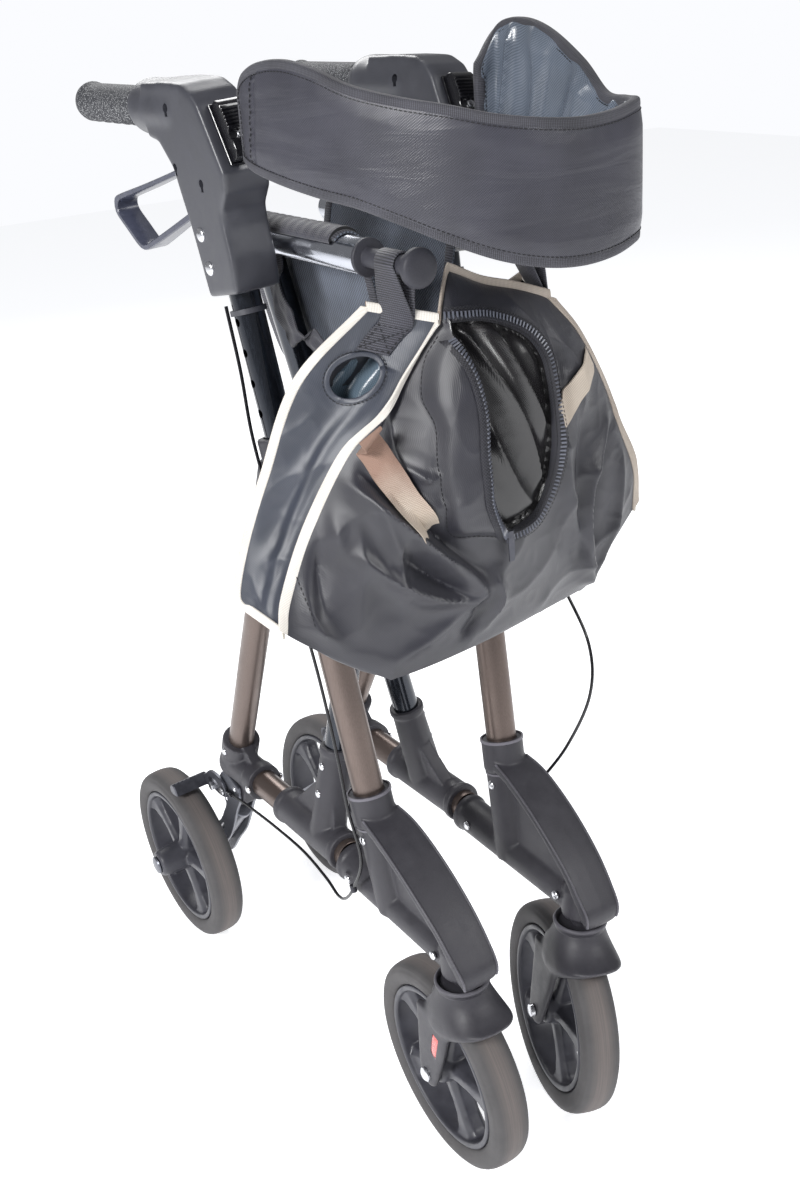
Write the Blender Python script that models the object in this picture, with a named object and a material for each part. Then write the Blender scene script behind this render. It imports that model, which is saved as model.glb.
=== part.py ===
"""A side-folding rollator with four wheels, shown folded: two leaning side frames, a scissor brace
between them, seat rails with a mesh sling, a shopping bag, a padded backrest strap and loop brakes.

Metres, +Z up, -Y is forward, +X is the user's left. Each side is modelled in the upright plane of
its own frame, where x points outboard, and then stands leaning outward.
"""

import math

import bmesh
import bpy
from mathutils import Matrix, Vector

# Whole object
SIDES = (("right", -1), ("left", 1))
GAP = 0.0003
LEAN = 0.0577
HALF_TRACK = 0.0589
LEAN_HEIGHT = 0.100
CENTRE_SHIFT = 0.12347

# Wheels
WHEEL_RADIUS = 0.100
TYRE_WIDTH = 0.036
TYRE_INNER_RADIUS = 0.079
RIM_BAND = 0.0052
FRONT_HUB_HALF = 0.0200
FRONT_HUB_RADIUS = 0.0145
REAR_HUB_REACH = 0.040
REAR_HUB_RADIUS = 0.0150
AXLE_RADIUS = 0.0040
SPOKES = 5
WHEEL_STEPS = 26

# Frame tubes, as positions (y, z) in the side plane
TUBE_RADIUS = 0.0140
TUBE_WALL = 0.0010
REAR_TUBE_RADIUS = 0.0130
HANDLE_TUBE_RADIUS = TUBE_RADIUS - TUBE_WALL - GAP
MAIN_FOOT = Vector((0.0, -0.275, 0.354))
MAIN_LINE = Vector((0.0, 0.1979, 0.9802)).normalized()
REAR_FOOT = Vector((0.0, 0.008, 0.255))
REAR_LINE = Vector((0.0, -0.4731, 0.8810)).normalized()
BOTTOM_HEIGHT = 0.255
MAIN_TUBE_ENDS = (-0.0470, 0.3215)
REAR_TUBE_ENDS = (0.0260, 0.4065)
BOTTOM_TUBE_ENDS = (-0.0125, -0.2210)
HANDLE_TUBE_ENDS = (0.1500, 0.5240)
TUBE_STEPS = 14
CASTING_WALL = 0.0038
SLEEVE_WALL = 0.0040
COLLAR_RADIUS = TUBE_RADIUS + 0.0055
SOCKET_LEAN = 0.06
SOCKET_HEIGHT = 0.250

# Front caster
STEM_Y = -0.394
STEM_RADIUS = 0.0080
TRAIL = 0.036
FORK_HALF_WIDTH = 0.0285
FORK_WHEEL_GAP = 0.0035
LENS_OUTLINE = [(0.003, 0.158), (0.012, 0.160), (0.020, 0.134), (0.013, 0.130)]
LENS_DEPTH = 0.0022
SWIVEL = {"right": math.radians(-2.5), "left": math.radians(-16.7)}

# Rear wheel and brake
REAR_AXLE_Y = 0.111
REAR_WHEEL_OUT = 0.0375
REAR_AXLE_Z = WHEEL_RADIUS + REAR_WHEEL_OUT * math.tan(LEAN)
STRUT_PLATE = 0.0035
STRUT_HALF = 0.0115
BRAKE_PIVOT = Vector((0.0, 0.030, 0.2130))
BRAKE_PIN_RADIUS = 0.0030

# Handle
HOUSING_HALF = 0.0205
BARREL_RADIUS = 0.0225
GRIP_HEIGHT = 0.9265
GRIP_RADIUS = 0.0155
GRIP_LENGTH = 0.124
SPIGOT_RADIUS = 0.0095
LEVER_PIVOT = Vector((0.0, -0.139, 0.880))
LEVER_PIN_RADIUS = 0.0025
LEVER_HALF = 0.0090

# Scissor brace and seat
LEG_RADIUS = 0.0125
LEG_WALL = 0.0015
LEG_START = 0.034
LEG_CLEARANCE = 0.0010
LEG_PLANE = {"a": -0.178, "b": -0.178 + 2.0 * LEG_RADIUS + LEG_CLEARANCE}
RAIL_X = 0.058
RAIL_Z = 0.822
RAIL_OPEN_X = 0.0330
RAIL_OPEN_Z = 0.6283
RAIL_RADIUS = 0.0135
RAIL_WALL = 0.0015
RAIL_STEPS = 20
RAIL_FRONT = -0.3125
RAIL_REAR = -0.066
PEG_RADIUS = 0.0075
PEG_LENGTH = 0.060
SLEEVE_REACH = 0.094
PIN_RADIUS = 0.0035
SLING_THICKNESS = 0.0024
SLING_CLEARANCES = [(0.0140, 0.0026), (0.0420, 0.0019), (0.0770, 0.0016), (0.1140, 0.0039)]

# Soft goods
STRAP_THICKNESS = 0.0080
BAG_WALL = 0.0022
WEBBING = 0.0016
LOOP_FRONT = -0.3620
LOOP_REAR = -0.3360
CABLE_RADIUS = 0.0015


def colour(red, green, blue):
    """A linear colour from its 0 to 255 screen values."""
    return tuple((value / 255) ** 2.2 for value in (red, green, blue)) + (1.0,)


def material(name, rgba, roughness, metallic):
    made = bpy.data.materials.new(name)
    made.use_nodes = True
    shader = made.node_tree.nodes["Principled BSDF"]
    shader.inputs["Base Color"].default_value = rgba
    shader.inputs["Roughness"].default_value = roughness
    shader.inputs["Metallic"].default_value = metallic
    made.diffuse_color = rgba
    return made


def mesh_of(points, faces):
    """A closed mesh with its faces turned outward."""
    mesh = bpy.data.meshes.new("shape")
    mesh.from_pydata([tuple(point) for point in points], [], faces)
    work = bmesh.new()
    work.from_mesh(mesh)
    bmesh.ops.recalc_face_normals(work, faces=work.faces)
    work.to_mesh(mesh)
    work.free()
    return mesh


def cross_axes(axis):
    """Two unit vectors square to the axis, the first one as near to +Z as it can be."""
    reference = Vector((0.0, 0.0, 1.0)) if abs(axis.z) < 0.9 else Vector((1.0, 0.0, 0.0))
    first = (reference - axis * reference.dot(axis)).normalized()
    return first, axis.cross(first)


def turned(profile, start, direction, steps=TUBE_STEPS, closed=False):
    """A body of revolution from (distance along the axis, radius) points."""
    axis = Vector(direction).normalized()
    first, second = cross_axes(axis)
    points, rings = [], []
    for along, radius in profile:
        centre = Vector(start) + axis * along
        count = steps if radius > 0.0 else 1
        rings.append(range(len(points), len(points) + count))
        for step in range(count):
            angle = 2.0 * math.pi * step / steps
            points.append(centre + (first * math.cos(angle) + second * math.sin(angle)) * radius)
    faces = []
    following = rings[1:] + rings[:1] if closed else rings[1:]
    for ring, other in zip(rings, following):
        for step in range(steps):
            after = (step + 1) % steps
            if len(ring) == 1:
                faces.append((ring[0], other[step], other[after]))
            elif len(other) == 1:
                faces.append((ring[step], ring[after], other[0]))
            else:
                faces.append((ring[step], ring[after], other[after], other[step]))
    if not closed:
        faces += [tuple(ring) for ring in (rings[0], rings[-1]) if len(ring) > 1]
    return mesh_of(points, faces)


def rod(start, end, radius, steps=TUBE_STEPS):
    """A plain cylinder between two points."""
    line = Vector(end) - Vector(start)
    return turned([(0.0, radius), (line.length, radius)], start, line, steps)


def pipe(start, end, outer, inner, steps=TUBE_STEPS):
    """A tube open at both ends."""
    line = Vector(end) - Vector(start)
    length = line.length
    profile = [(0.0, inner), (0.0, outer), (length, outer), (length, inner)]
    return turned(profile, start, line, steps, closed=True)


def placed(pairs, level, axis):
    """Outline pairs as points: (y, z) at an x level, or (x, z) at a y level."""
    if axis == "x":
        return [(level, first, second) for first, second in pairs]
    return [(first, level, second) for first, second in pairs]


def plate(outline, low, high, axis="x"):
    """A flat plate between two levels along the axis, from its outline square to it."""
    count = len(outline)
    points = placed(outline, low, axis) + placed(outline, high, axis)
    faces = [tuple(range(count)), tuple(range(count, 2 * count))]
    for index in range(count):
        after = (index + 1) % count
        faces.append((index, after, count + after, count + index))
    return mesh_of(points, faces)


def ring_plate(outer, inner, low, high, axis="x"):
    """A plate with one opening; the two outlines have the same number of points."""
    count = len(outer)
    points = placed(outer + inner, low, axis) + placed(outer + inner, high, axis)
    faces = []
    for index in range(count):
        after = (index + 1) % count
        a, b, c, d = index, after, count + after, count + index
        shift = 2 * count
        faces += [(a, b, c, d), (a + shift, b + shift, c + shift, d + shift)]
        faces += [(a, b, b + shift, a + shift), (d, c, c + shift, d + shift)]
    return mesh_of(points, faces)


def lofted(rings):
    """A body through rings that have the same number of points, closed at both ends."""
    count = len(rings[0])
    points = [point for ring in rings for point in ring]
    faces = [tuple(range(count)), tuple(range(len(points) - count, len(points)))]
    for level in range(len(rings) - 1):
        for index in range(count):
            after = (index + 1) % count
            base = level * count
            faces.append((base + index, base + after, base + count + after, base + count + index))
    return mesh_of(points, faces)


def rounded(mesh, width, segments=2, least_degrees=40.0):
    """The mesh with its sharp edges rounded."""
    work = bmesh.new()
    work.from_mesh(mesh)
    least = math.radians(least_degrees)
    sharp = [edge for edge in work.edges if edge.calc_face_angle() > least]
    bmesh.ops.bevel(work, geom=sharp, offset=width, segments=segments, profile=0.5, affect="EDGES")
    work.to_mesh(mesh)
    work.free()
    return mesh


def carved(mesh, *steps):
    """The mesh after each step, a pair of UNION or DIFFERENCE and the other mesh."""
    scene = bpy.context.scene.collection
    base = bpy.data.objects.new("base", mesh)
    scene.objects.link(base)
    tools = []
    for operation, other in steps:
        tool = bpy.data.objects.new("tool", other)
        scene.objects.link(tool)
        tools.append(tool)
        step = base.modifiers.new(operation, "BOOLEAN")
        step.operation = operation
        step.solver = "EXACT"
        step.object = tool
    graph = bpy.context.evaluated_depsgraph_get()
    result = bpy.data.meshes.new_from_object(base.evaluated_get(graph))
    for helper in [base] + tools:
        bpy.data.objects.remove(helper)
    return result


def moved(mesh, matrix):
    mesh.transform(matrix)
    return mesh


def empty(name, place, parent=None, turn=(0.0, 0.0, 0.0)):
    """A frame of reference for a body, on its joint's axis where it moves."""
    made = bpy.data.objects.new(name, None)
    made.empty_display_size = 0.02
    made.location = place
    made.rotation_euler = turn
    made.parent = parent
    bpy.context.scene.collection.objects.link(made)
    return made


def node(name, mesh, look, parent, origin=(0.0, 0.0, 0.0), side=1):
    """One piece. The mesh is in the frame in which origin is the parent's place; on the right
    side, where x runs the other way, it is mirrored."""
    mesh.transform(Matrix.Translation(-Vector(origin)))
    if side < 0:
        mesh.transform(Matrix.Scale(-1.0, 4, (1.0, 0.0, 0.0)))
        mesh.flip_normals()
    mesh.name = name
    mesh.materials.clear()
    mesh.materials.append(look)
    mesh.shade_smooth()
    mesh.set_sharp_from_angle(angle=math.radians(35.0))
    made = bpy.data.objects.new(name, mesh)
    made.parent = parent
    bpy.context.scene.collection.objects.link(made)
    return made


def main_point(distance):
    """A point on the main tube's axis, by its distance above the front casting's collar."""
    return MAIN_FOOT + MAIN_LINE * distance


def rear_point(distance):
    return REAR_FOOT + REAR_LINE * distance


def smooth_path(points, count):
    """Evenly stepped points on a smooth curve through the given ones."""
    nodes = [Vector(point) for point in points]
    nodes = [nodes[0] * 2.0 - nodes[1]] + nodes + [nodes[-1] * 2.0 - nodes[-2]]
    dense = []
    for a, b, c, d in zip(nodes, nodes[1:], nodes[2:], nodes[3:]):
        for step in range(20):
            t = step / 20.0
            dense.append(
                0.5
                * (
                    b * 2.0
                    + (c - a) * t
                    + (a * 2.0 - b * 5.0 + c * 4.0 - d) * t**2
                    + (b * 3.0 - a - c * 3.0 + d) * t**3
                )
            )
    dense.append(nodes[-2])
    lengths = [0.0]
    for before, after in zip(dense, dense[1:]):
        lengths.append(lengths[-1] + (after - before).length)
    even, at = [], 0
    for step in range(count):
        target = lengths[-1] * step / (count - 1)
        while at < len(dense) - 2 and lengths[at + 1] < target:
            at += 1
        share = (target - lengths[at]) / max(lengths[at + 1] - lengths[at], 1e-9)
        even.append(dense[at].lerp(dense[at + 1], share))
    return even


# ---------------------------------------------------------------- side frame


def front_casting():
    """The moulded front corner: post, lower socket, curved arch, web and caster nose."""
    post_foot = main_point(-0.118)
    post = turned(
        [(0.0, TUBE_RADIUS + CASTING_WALL), (0.090, TUBE_RADIUS + CASTING_WALL)]
        + [(0.0935, COLLAR_RADIUS), (0.118, COLLAR_RADIUS)],
        post_foot,
        MAIN_LINE,
    )
    tube_underside = BOTTOM_HEIGHT - TUBE_RADIUS
    socket_start = BOTTOM_TUBE_ENDS[1] - GAP - SOCKET_LEAN * (SOCKET_HEIGHT - tube_underside)
    socket = turned(
        [(0.0, 0.0188), (0.006, 0.0188), (0.008, 0.0172), (0.170, 0.0152)],
        (0.0, socket_start, SOCKET_HEIGHT),
        (0.0, -1.0, -SOCKET_LEAN),
    )
    top = [(-0.286, 0.3390), (-0.312, 0.3325), (-0.340, 0.3190), (-0.368, 0.3010)]
    top += [(-0.394, 0.2805), (-0.413, 0.2600), (-0.4245, 0.2390), (-0.4225, 0.2215)]
    top += [(-0.4130, 0.2150)]
    depth = [0.0090, 0.0080, 0.0075, 0.0075, 0.0080, 0.0090, 0.0110, 0.0120, 0.0060]
    half = [0.0185, 0.0208, 0.0215, 0.0215, 0.0208, 0.0198, 0.0186, 0.0160, 0.0100]
    rings = []
    for index, (y, z) in enumerate(top):
        before = top[max(index - 1, 0)]
        after = top[min(index + 1, len(top) - 1)]
        along = Vector((0.0, after[0] - before[0], after[1] - before[1])).normalized()
        upper = Vector((0.0, y, z))
        lower = upper + Vector((0.0, -along.z, along.y)) * depth[index]
        width = half[index]
        crown = (upper - lower).normalized() * 0.0012
        rings.append(
            [
                upper - crown + Vector((-width, 0.0, 0.0)),
                upper + Vector((-width * 0.55, 0.0, 0.0)),
                upper + crown * 0.4,
                upper + Vector((width * 0.55, 0.0, 0.0)),
                upper - crown + Vector((width, 0.0, 0.0)),
                lower + Vector((width, 0.0, 0.0)),
                lower + Vector((-width, 0.0, 0.0)),
            ]
        )
    arch = lofted(rings)
    nose = turned(
        [(0.0, 0.0150), (0.003, 0.0172), (0.050, 0.0172), (0.062, 0.0140)],
        (0.0, STEM_Y, 0.2165),
        (0.0, 0.0, 1.0),
    )
    web = plate(
        [(-0.288, 0.3340), (-0.340, 0.3152), (-0.391, 0.2772), (-0.399, 0.243), (-0.285, 0.243)],
        -0.0060,
        0.0060,
    )
    tube_bore = rod(main_point(MAIN_TUBE_ENDS[0] - GAP), main_point(0.02), TUBE_RADIUS + GAP)
    level = BOTTOM_HEIGHT - 0.004
    socket_bore = rod((0.0, -0.200, level), (0.0, -0.2455, level), 0.0128)
    stem_bore = rod((0.0, STEM_Y, 0.200), (0.0, STEM_Y, 0.2640), STEM_RADIUS + GAP)
    rivet = rod((0.0150, -0.2440, 0.2500), (0.0192, -0.2440, 0.2500), 0.0042, 8)
    nose_rivet = rod((0.0120, -0.3790, 0.2440), (0.0196, -0.3790, 0.2440), 0.0042, 8)
    return carved(
        post,
        ("UNION", socket),
        ("UNION", web),
        ("UNION", nose),
        ("UNION", arch),
        ("UNION", rivet),
        ("UNION", nose_rivet),
        ("DIFFERENCE", tube_bore),
        ("DIFFERENCE", socket_bore),
        ("DIFFERENCE", stem_bore),
    )


def rear_casting():
    """The moulded rear corner: an elbow with a foot that the wheel strut grips."""
    sleeve = TUBE_RADIUS + SLEEVE_WALL
    upright = turned(
        [(0.002, sleeve), (0.020, sleeve), (0.023, COLLAR_RADIUS), (0.042, COLLAR_RADIUS)],
        REAR_FOOT,
        REAR_LINE,
        16,
    )
    level = turned(
        [(-0.003, sleeve), (0.040, sleeve), (0.043, COLLAR_RADIUS), (0.059, COLLAR_RADIUS)],
        REAR_FOOT,
        (0.0, -1.0, 0.0),
        16,
    )
    elbow = turned(
        [(-0.0198, 0.0), (-0.0142, 0.0140), (0.0, 0.0198), (0.0142, 0.0140), (0.0198, 0.0)],
        REAR_FOOT + Vector((0.0, 0.0007, 0.0004)),
        (1.0, 0.0, 0.0),
        14,
    )
    foot = plate(
        [(-0.016, 0.248), (0.022, 0.250), (0.025, 0.206), (0.010, 0.200), (-0.006, 0.210)],
        -0.0074,
        0.0074,
    )
    upright_bore = rod(rear_point(REAR_TUBE_ENDS[0] - GAP), rear_point(0.060), REAR_TUBE_RADIUS + GAP)
    bore_end = BOTTOM_TUBE_ENDS[0] + GAP
    level_bore = rod((0.0, bore_end, BOTTOM_HEIGHT), (0.0, -0.070, BOTTOM_HEIGHT), TUBE_RADIUS + GAP)
    collar_rivet = rod((0.0165, -0.0085, 0.2830), (0.0212, -0.0085, 0.2830), 0.0038, 8)
    return carved(
        upright,
        ("UNION", level),
        ("UNION", elbow),
        ("UNION", foot),
        ("UNION", collar_rivet),
        ("DIFFERENCE", upright_bore),
        ("DIFFERENCE", level_bore),
    )


def saddle_place():
    """The centre of the opened seat rail, in the plane of its side frame."""
    x = RAIL_OPEN_X - (HALF_TRACK - LEAN_HEIGHT * math.sin(LEAN))
    z = RAIL_OPEN_Z - LEAN_HEIGHT * (1.0 - math.cos(LEAN))
    return (
        x * math.cos(LEAN) - z * math.sin(LEAN),
        x * math.sin(LEAN) + z * math.cos(LEAN),
    )


def frame_junction():
    """The moulding where the rear tube meets the main tube, with a cradle for the seat rail."""
    sleeve = TUBE_RADIUS + SLEEVE_WALL
    collar = turned(
        [(0.0, sleeve), (0.078, sleeve), (0.080, COLLAR_RADIUS), (0.098, COLLAR_RADIUS)],
        main_point(0.226),
        MAIN_LINE,
    )
    socket = rod(rear_point(0.330), rear_point(0.437), 0.0172)
    lip = rod(rear_point(0.330), rear_point(0.343), 0.0185)
    cradle_x, cradle_z = saddle_place()
    seat = RAIL_RADIUS + 0.0010
    low, high = -0.2330, -0.2090
    section = [(-0.0050, 0.6350), (-0.0050, 0.5900)]
    section += [(cradle_x + 0.0080, cradle_z - 0.0215), (cradle_x - 0.0080, cradle_z - 0.0215)]
    section += [(cradle_x - 0.0125, cradle_z - 0.0090), (cradle_x + 0.0125, cradle_z - 0.0090)]
    section += [(cradle_x + 0.0200, cradle_z - 0.0050)]
    arm = plate(section, low, high, "y")
    tube_bore = rod(main_point(0.20), main_point(0.350), TUBE_RADIUS + GAP)
    rear_bore = rod(rear_point(0.300), rear_point(REAR_TUBE_ENDS[1] + GAP), REAR_TUBE_RADIUS + GAP)
    rail_room = rod((cradle_x, low - 0.01, cradle_z), (cradle_x, high + 0.01, cradle_z), seat)
    return carved(
        collar,
        ("UNION", socket),
        ("UNION", lip),
        ("UNION", arm),
        ("DIFFERENCE", tube_bore),
        ("DIFFERENCE", rear_bore),
        ("DIFFERENCE", rail_room),
    )


def rear_strut():
    """Two plates and a round post that carry the rear axle and the brake pivot."""
    outline = [(-0.004, 0.2300), (0.026, 0.2385), (0.040, 0.2260), (0.0415, 0.2060), (0.036, 0.1930)]
    outline += [(0.060, 0.1600)]
    eye = [(0.0040, 0.0148), (0.0160, 0.0058), (0.0170, -0.0072), (0.0060, -0.0172), (-0.0120, -0.0152)]
    outline += [(REAR_AXLE_Y + y, REAR_AXLE_Z + z) for y, z in eye]
    outline += [(0.040, 0.1500), (0.010, 0.1960)]
    inner = STRUT_HALF - STRUT_PLATE
    outboard = plate(outline, inner, STRUT_HALF)
    inboard = plate(outline, -STRUT_HALF, -inner)
    post = turned(
        [(0.0, 0.0105), (0.009, 0.0105), (0.010, 0.0088), (0.120, 0.0088)],
        (0.0, 0.0200, 0.1900),
        (0.0, 0.70, -0.72),
        14,
    )
    start, end = (-0.03, REAR_AXLE_Y, REAR_AXLE_Z), (0.03, REAR_AXLE_Y, REAR_AXLE_Z)
    axle_bore = rod(start, end, AXLE_RADIUS + GAP, 12)
    brake_bore = rod(
        BRAKE_PIVOT - Vector((0.03, 0.0, 0.0)),
        BRAKE_PIVOT + Vector((0.03, 0.0, 0.0)),
        BRAKE_PIN_RADIUS + GAP,
        12,
    )
    return carved(
        post,
        ("UNION", outboard),
        ("UNION", inboard),
        ("DIFFERENCE", axle_bore),
        ("DIFFERENCE", brake_bore),
    )


def rear_axle():
    """A shaft from the strut through the wheel's long hub, with a head at each end."""
    start = -STRUT_HALF - GAP - 0.004
    end = REAR_WHEEL_OUT + REAR_HUB_REACH
    profile = [
        (0.0, 0.0),
        (0.0, 0.0075),
        (0.004, 0.0075),
        (0.004, AXLE_RADIUS),
        (end - start + GAP, AXLE_RADIUS),
        (end - start + GAP, 0.0105),
        (end - start + 0.0030, 0.0095),
        (end - start + 0.0040, 0.0),
    ]
    return turned(profile, (start, REAR_AXLE_Y, REAR_AXLE_Z), (1.0, 0.0, 0.0), 12)


def tyre():
    """A solid tyre with a rounded tread, about the x axis."""
    half = TYRE_WIDTH / 2.0
    side = [(0.75 * half, TYRE_INNER_RADIUS), (half, 0.0870), (0.80 * half, 0.0960)]
    profile = [(-a, r) for a, r in side] + [(0.0, WHEEL_RADIUS)] + [(a, r) for a, r in reversed(side)]
    return turned(profile, (0.0, 0.0, 0.0), (1.0, 0.0, 0.0), WHEEL_STEPS, closed=True)


def rim(hub_low, hub_high, hub_radius, spoke_half):
    """A deep rim with five thick spokes and a bored hub, about the x axis."""
    outer = TYRE_INNER_RADIUS - GAP
    band = turned(
        [(-0.0150, outer - RIM_BAND), (-0.0150, outer), (0.0150, outer)]
        + [(0.0150, outer - RIM_BAND)],
        (0.0, 0.0, 0.0),
        (1.0, 0.0, 0.0),
        WHEEL_STEPS,
        closed=True,
    )
    hub = turned(
        [(hub_low, hub_radius), (0.0, hub_radius + 0.0025), (hub_high - 0.0015, hub_radius)]
        + [(hub_high, hub_radius - 0.0015)],
        (0.0, 0.0, 0.0),
        (1.0, 0.0, 0.0),
        12,
    )
    steps = [("UNION", hub)]
    for spoke in range(SPOKES):
        rings = []
        for reach, width in ((0.008, 0.0075), (0.0755, 0.0090)):
            rings.append(
                [
                    Vector((spoke_half * 0.5, -width, reach)),
                    Vector((spoke_half, 0.0, reach)),
                    Vector((spoke_half * 0.5, width, reach)),
                    Vector((-spoke_half * 0.5, width, reach)),
                    Vector((-spoke_half, 0.0, reach)),
                    Vector((-spoke_half * 0.5, -width, reach)),
                ]
            )
        turn = Matrix.Rotation(2.0 * math.pi * spoke / SPOKES + 0.3, 4, "X")
        steps.append(("UNION", moved(lofted(rings), turn)))
    bore = rod((hub_low - 0.01, 0.0, 0.0), (hub_high + 0.01, 0.0, 0.0), AXLE_RADIUS + GAP, 12)
    return carved(band, *steps, ("DIFFERENCE", bore))


def caster_fork():
    """The caster's hood, stem and two legs, about the stem's axis and the wheel's trail."""
    side = [(0.0, 0.2125), (0.021, 0.2105), (0.034, 0.2060), (0.0415, 0.1960), (0.0405, 0.1700)]
    side += [(0.0470, 0.1250), (0.0500, 0.1030), (0.0460, 0.0900), (0.0360, 0.0855), (0.0260, 0.0900)]
    side += [(0.0180, 0.1080), (-0.0130, 0.1480), (-0.0380, 0.1660), (-0.0455, 0.1780)]
    side += [(-0.0420, 0.1930), (-0.0300, 0.2050), (-0.0170, 0.2110)]
    shell = rounded(plate(side, -FORK_HALF_WIDTH, FORK_HALF_WIDTH), 0.0070, 2, 60.0)
    room = TYRE_WIDTH / 2.0 + FORK_WHEEL_GAP
    start, end = (-room, TRAIL, WHEEL_RADIUS), (room, TRAIL, WHEEL_RADIUS)
    tyre_room = rod(start, end, WHEEL_RADIUS + FORK_WHEEL_GAP, WHEEL_STEPS)
    ring = turned(
        [(0.0, 0.0200), (0.0065, 0.0180), (0.0080, 0.0170), (0.0100, 0.0120)]
        + [(0.0100, STEM_RADIUS), (0.0580, STEM_RADIUS)],
        (0.0, 0.0, 0.2050),
        (0.0, 0.0, 1.0),
    )
    axle_bore = rod((-0.04, TRAIL, WHEEL_RADIUS), (0.04, TRAIL, WHEEL_RADIUS), AXLE_RADIUS + GAP, 12)
    pocket = plate(LENS_OUTLINE, FORK_HALF_WIDTH - LENS_DEPTH, 0.04)
    return carved(
        shell,
        ("DIFFERENCE", tyre_room),
        ("UNION", ring),
        ("DIFFERENCE", axle_bore),
        ("DIFFERENCE", pocket),
    )


def fork_reflector():
    """A small lens in the pocket on the fork's outer leg."""
    inset = GAP + 0.0002
    middle = Vector((sum(y for y, z in LENS_OUTLINE) / 4.0, sum(z for y, z in LENS_OUTLINE) / 4.0))
    shrunk = []
    for point in LENS_OUTLINE:
        offset = Vector(point) - middle
        shrunk.append(tuple(middle + offset * (1.0 - inset * 2.2 / offset.length)))
    return plate(shrunk, FORK_HALF_WIDTH - LENS_DEPTH + GAP, FORK_HALF_WIDTH - 0.0002)


def front_axle():
    """The bolt through fork and wheel, with a head outboard and a nut inboard."""
    head = FORK_HALF_WIDTH + GAP
    profile = [
        (-head - 0.0045, 0.0),
        (-head - 0.0045, 0.0062),
        (-head, 0.0062),
        (-head, AXLE_RADIUS),
        (head, AXLE_RADIUS),
        (head, 0.0068),
        (head + 0.0035, 0.0055),
        (head + 0.0040, 0.0),
    ]
    return turned(profile, (0.0, TRAIL, WHEEL_RADIUS), (1.0, 0.0, 0.0), 12)


def brake_arm():
    """The brake's arm: a pivot pin, a plate beside the strut and a shoe across the tyre."""
    outline = [(0.0235, 0.2080), (0.0240, 0.2200), (0.0340, 0.2270), (0.0560, 0.2270), (0.0700, 0.2160)]
    outline += [(0.0830, 0.2080), (0.0860, 0.2040), (0.0780, 0.2000), (0.0620, 0.2050), (0.0360, 0.2050)]
    near, far = STRUT_HALF + GAP, STRUT_HALF + 0.0043
    arm = plate(outline, near, far)
    bar = plate([(0.0700, 0.2030), (0.0780, 0.2140), (0.0875, 0.2085), (0.0862, 0.2016)], near, 0.0530)
    pin = rod(
        BRAKE_PIVOT - Vector((STRUT_HALF + 0.002, 0.0, 0.0)),
        BRAKE_PIVOT + Vector((STRUT_HALF + 0.0075, 0.0, 0.0)),
        BRAKE_PIN_RADIUS,
        12,
    )
    bolt = rod((far - 0.001, 0.0530, 0.2160), (far + 0.0045, 0.0530, 0.2160), 0.0050, 6)
    return carved(arm, ("UNION", bar), ("UNION", pin), ("UNION", bolt))


# ---------------------------------------------------------------- handle


def handle_housing():
    """The handle's moulded body: a plate-sided sleeve under a round barrel for the grip."""
    outline = [(-0.100, 0.9480), (-0.140, 0.9495), (-0.172, 0.9490), (-0.190, 0.9420), (-0.198, 0.9345)]
    outline += [(-0.2245, 0.8860), (-0.2220, 0.8700), (-0.2110, 0.8560), (-0.2110, 0.8440)]
    outline += [(-0.2150, 0.8200), (-0.2150, 0.7930), (-0.1650, 0.7840), (-0.1520, 0.8380)]
    outline += [(-0.1430, 0.8640), (-0.1370, 0.8830), (-0.1180, 0.9030), (-0.1000, 0.9060)]
    body = rounded(plate(outline, -HOUSING_HALF, HOUSING_HALF), 0.0045, 1, 55.0)
    barrel = turned(
        [(0.0, 0.0185), (0.003, 0.0205), (0.012, BARREL_RADIUS), (0.080, BARREL_RADIUS)]
        + [(0.096, 0.0190), (0.104, 0.0120)],
        (0.0, -0.066, GRIP_HEIGHT),
        (0.0, -1.0, 0.0),
    )
    spigot = rod((0.0, -0.072, GRIP_HEIGHT), (0.0, 0.046, GRIP_HEIGHT), SPIGOT_RADIUS, 16)
    sleeve_end = main_point(HANDLE_TUBE_ENDS[1] + GAP)
    sleeve_bore = rod(main_point(0.400), sleeve_end, HANDLE_TUBE_RADIUS + GAP)
    slot_half = LEVER_HALF + GAP + 0.0004
    slot = plate(
        [(-0.090, 0.8985), (-0.1490, 0.8985), (-0.1520, 0.8930), (-0.1490, 0.8300), (-0.090, 0.8300)],
        -slot_half,
        slot_half,
    )
    pin_bore = rod(
        LEVER_PIVOT - Vector((0.0165, 0.0, 0.0)),
        LEVER_PIVOT + Vector((0.03, 0.0, 0.0)),
        LEVER_PIN_RADIUS + GAP,
        12,
    )
    upper = Vector((0.0, -0.145, 0.931))
    front = Vector((0.0, -0.184, 0.876))
    inner = HOUSING_HALF - 0.0030
    recesses = [rod((inner, p.y, p.z), (0.03, p.y, p.z), 0.0028, 10) for p in (upper, front)]
    rivets = []
    for y, z in ((-0.1690, 0.8350), (-0.1750, 0.8090)):
        rivets.append(rod((HOUSING_HALF - 0.003, y, z), (HOUSING_HALF + 0.0022, y, z), 0.0048, 10))
    return carved(
        body,
        ("UNION", barrel),
        ("UNION", spigot),
        ("DIFFERENCE", sleeve_bore),
        ("DIFFERENCE", slot),
        ("DIFFERENCE", pin_bore),
        ("DIFFERENCE", recesses[0]),
        ("DIFFERENCE", recesses[1]),
        ("UNION", rivets[0]),
        ("UNION", rivets[1]),
    )


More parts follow.
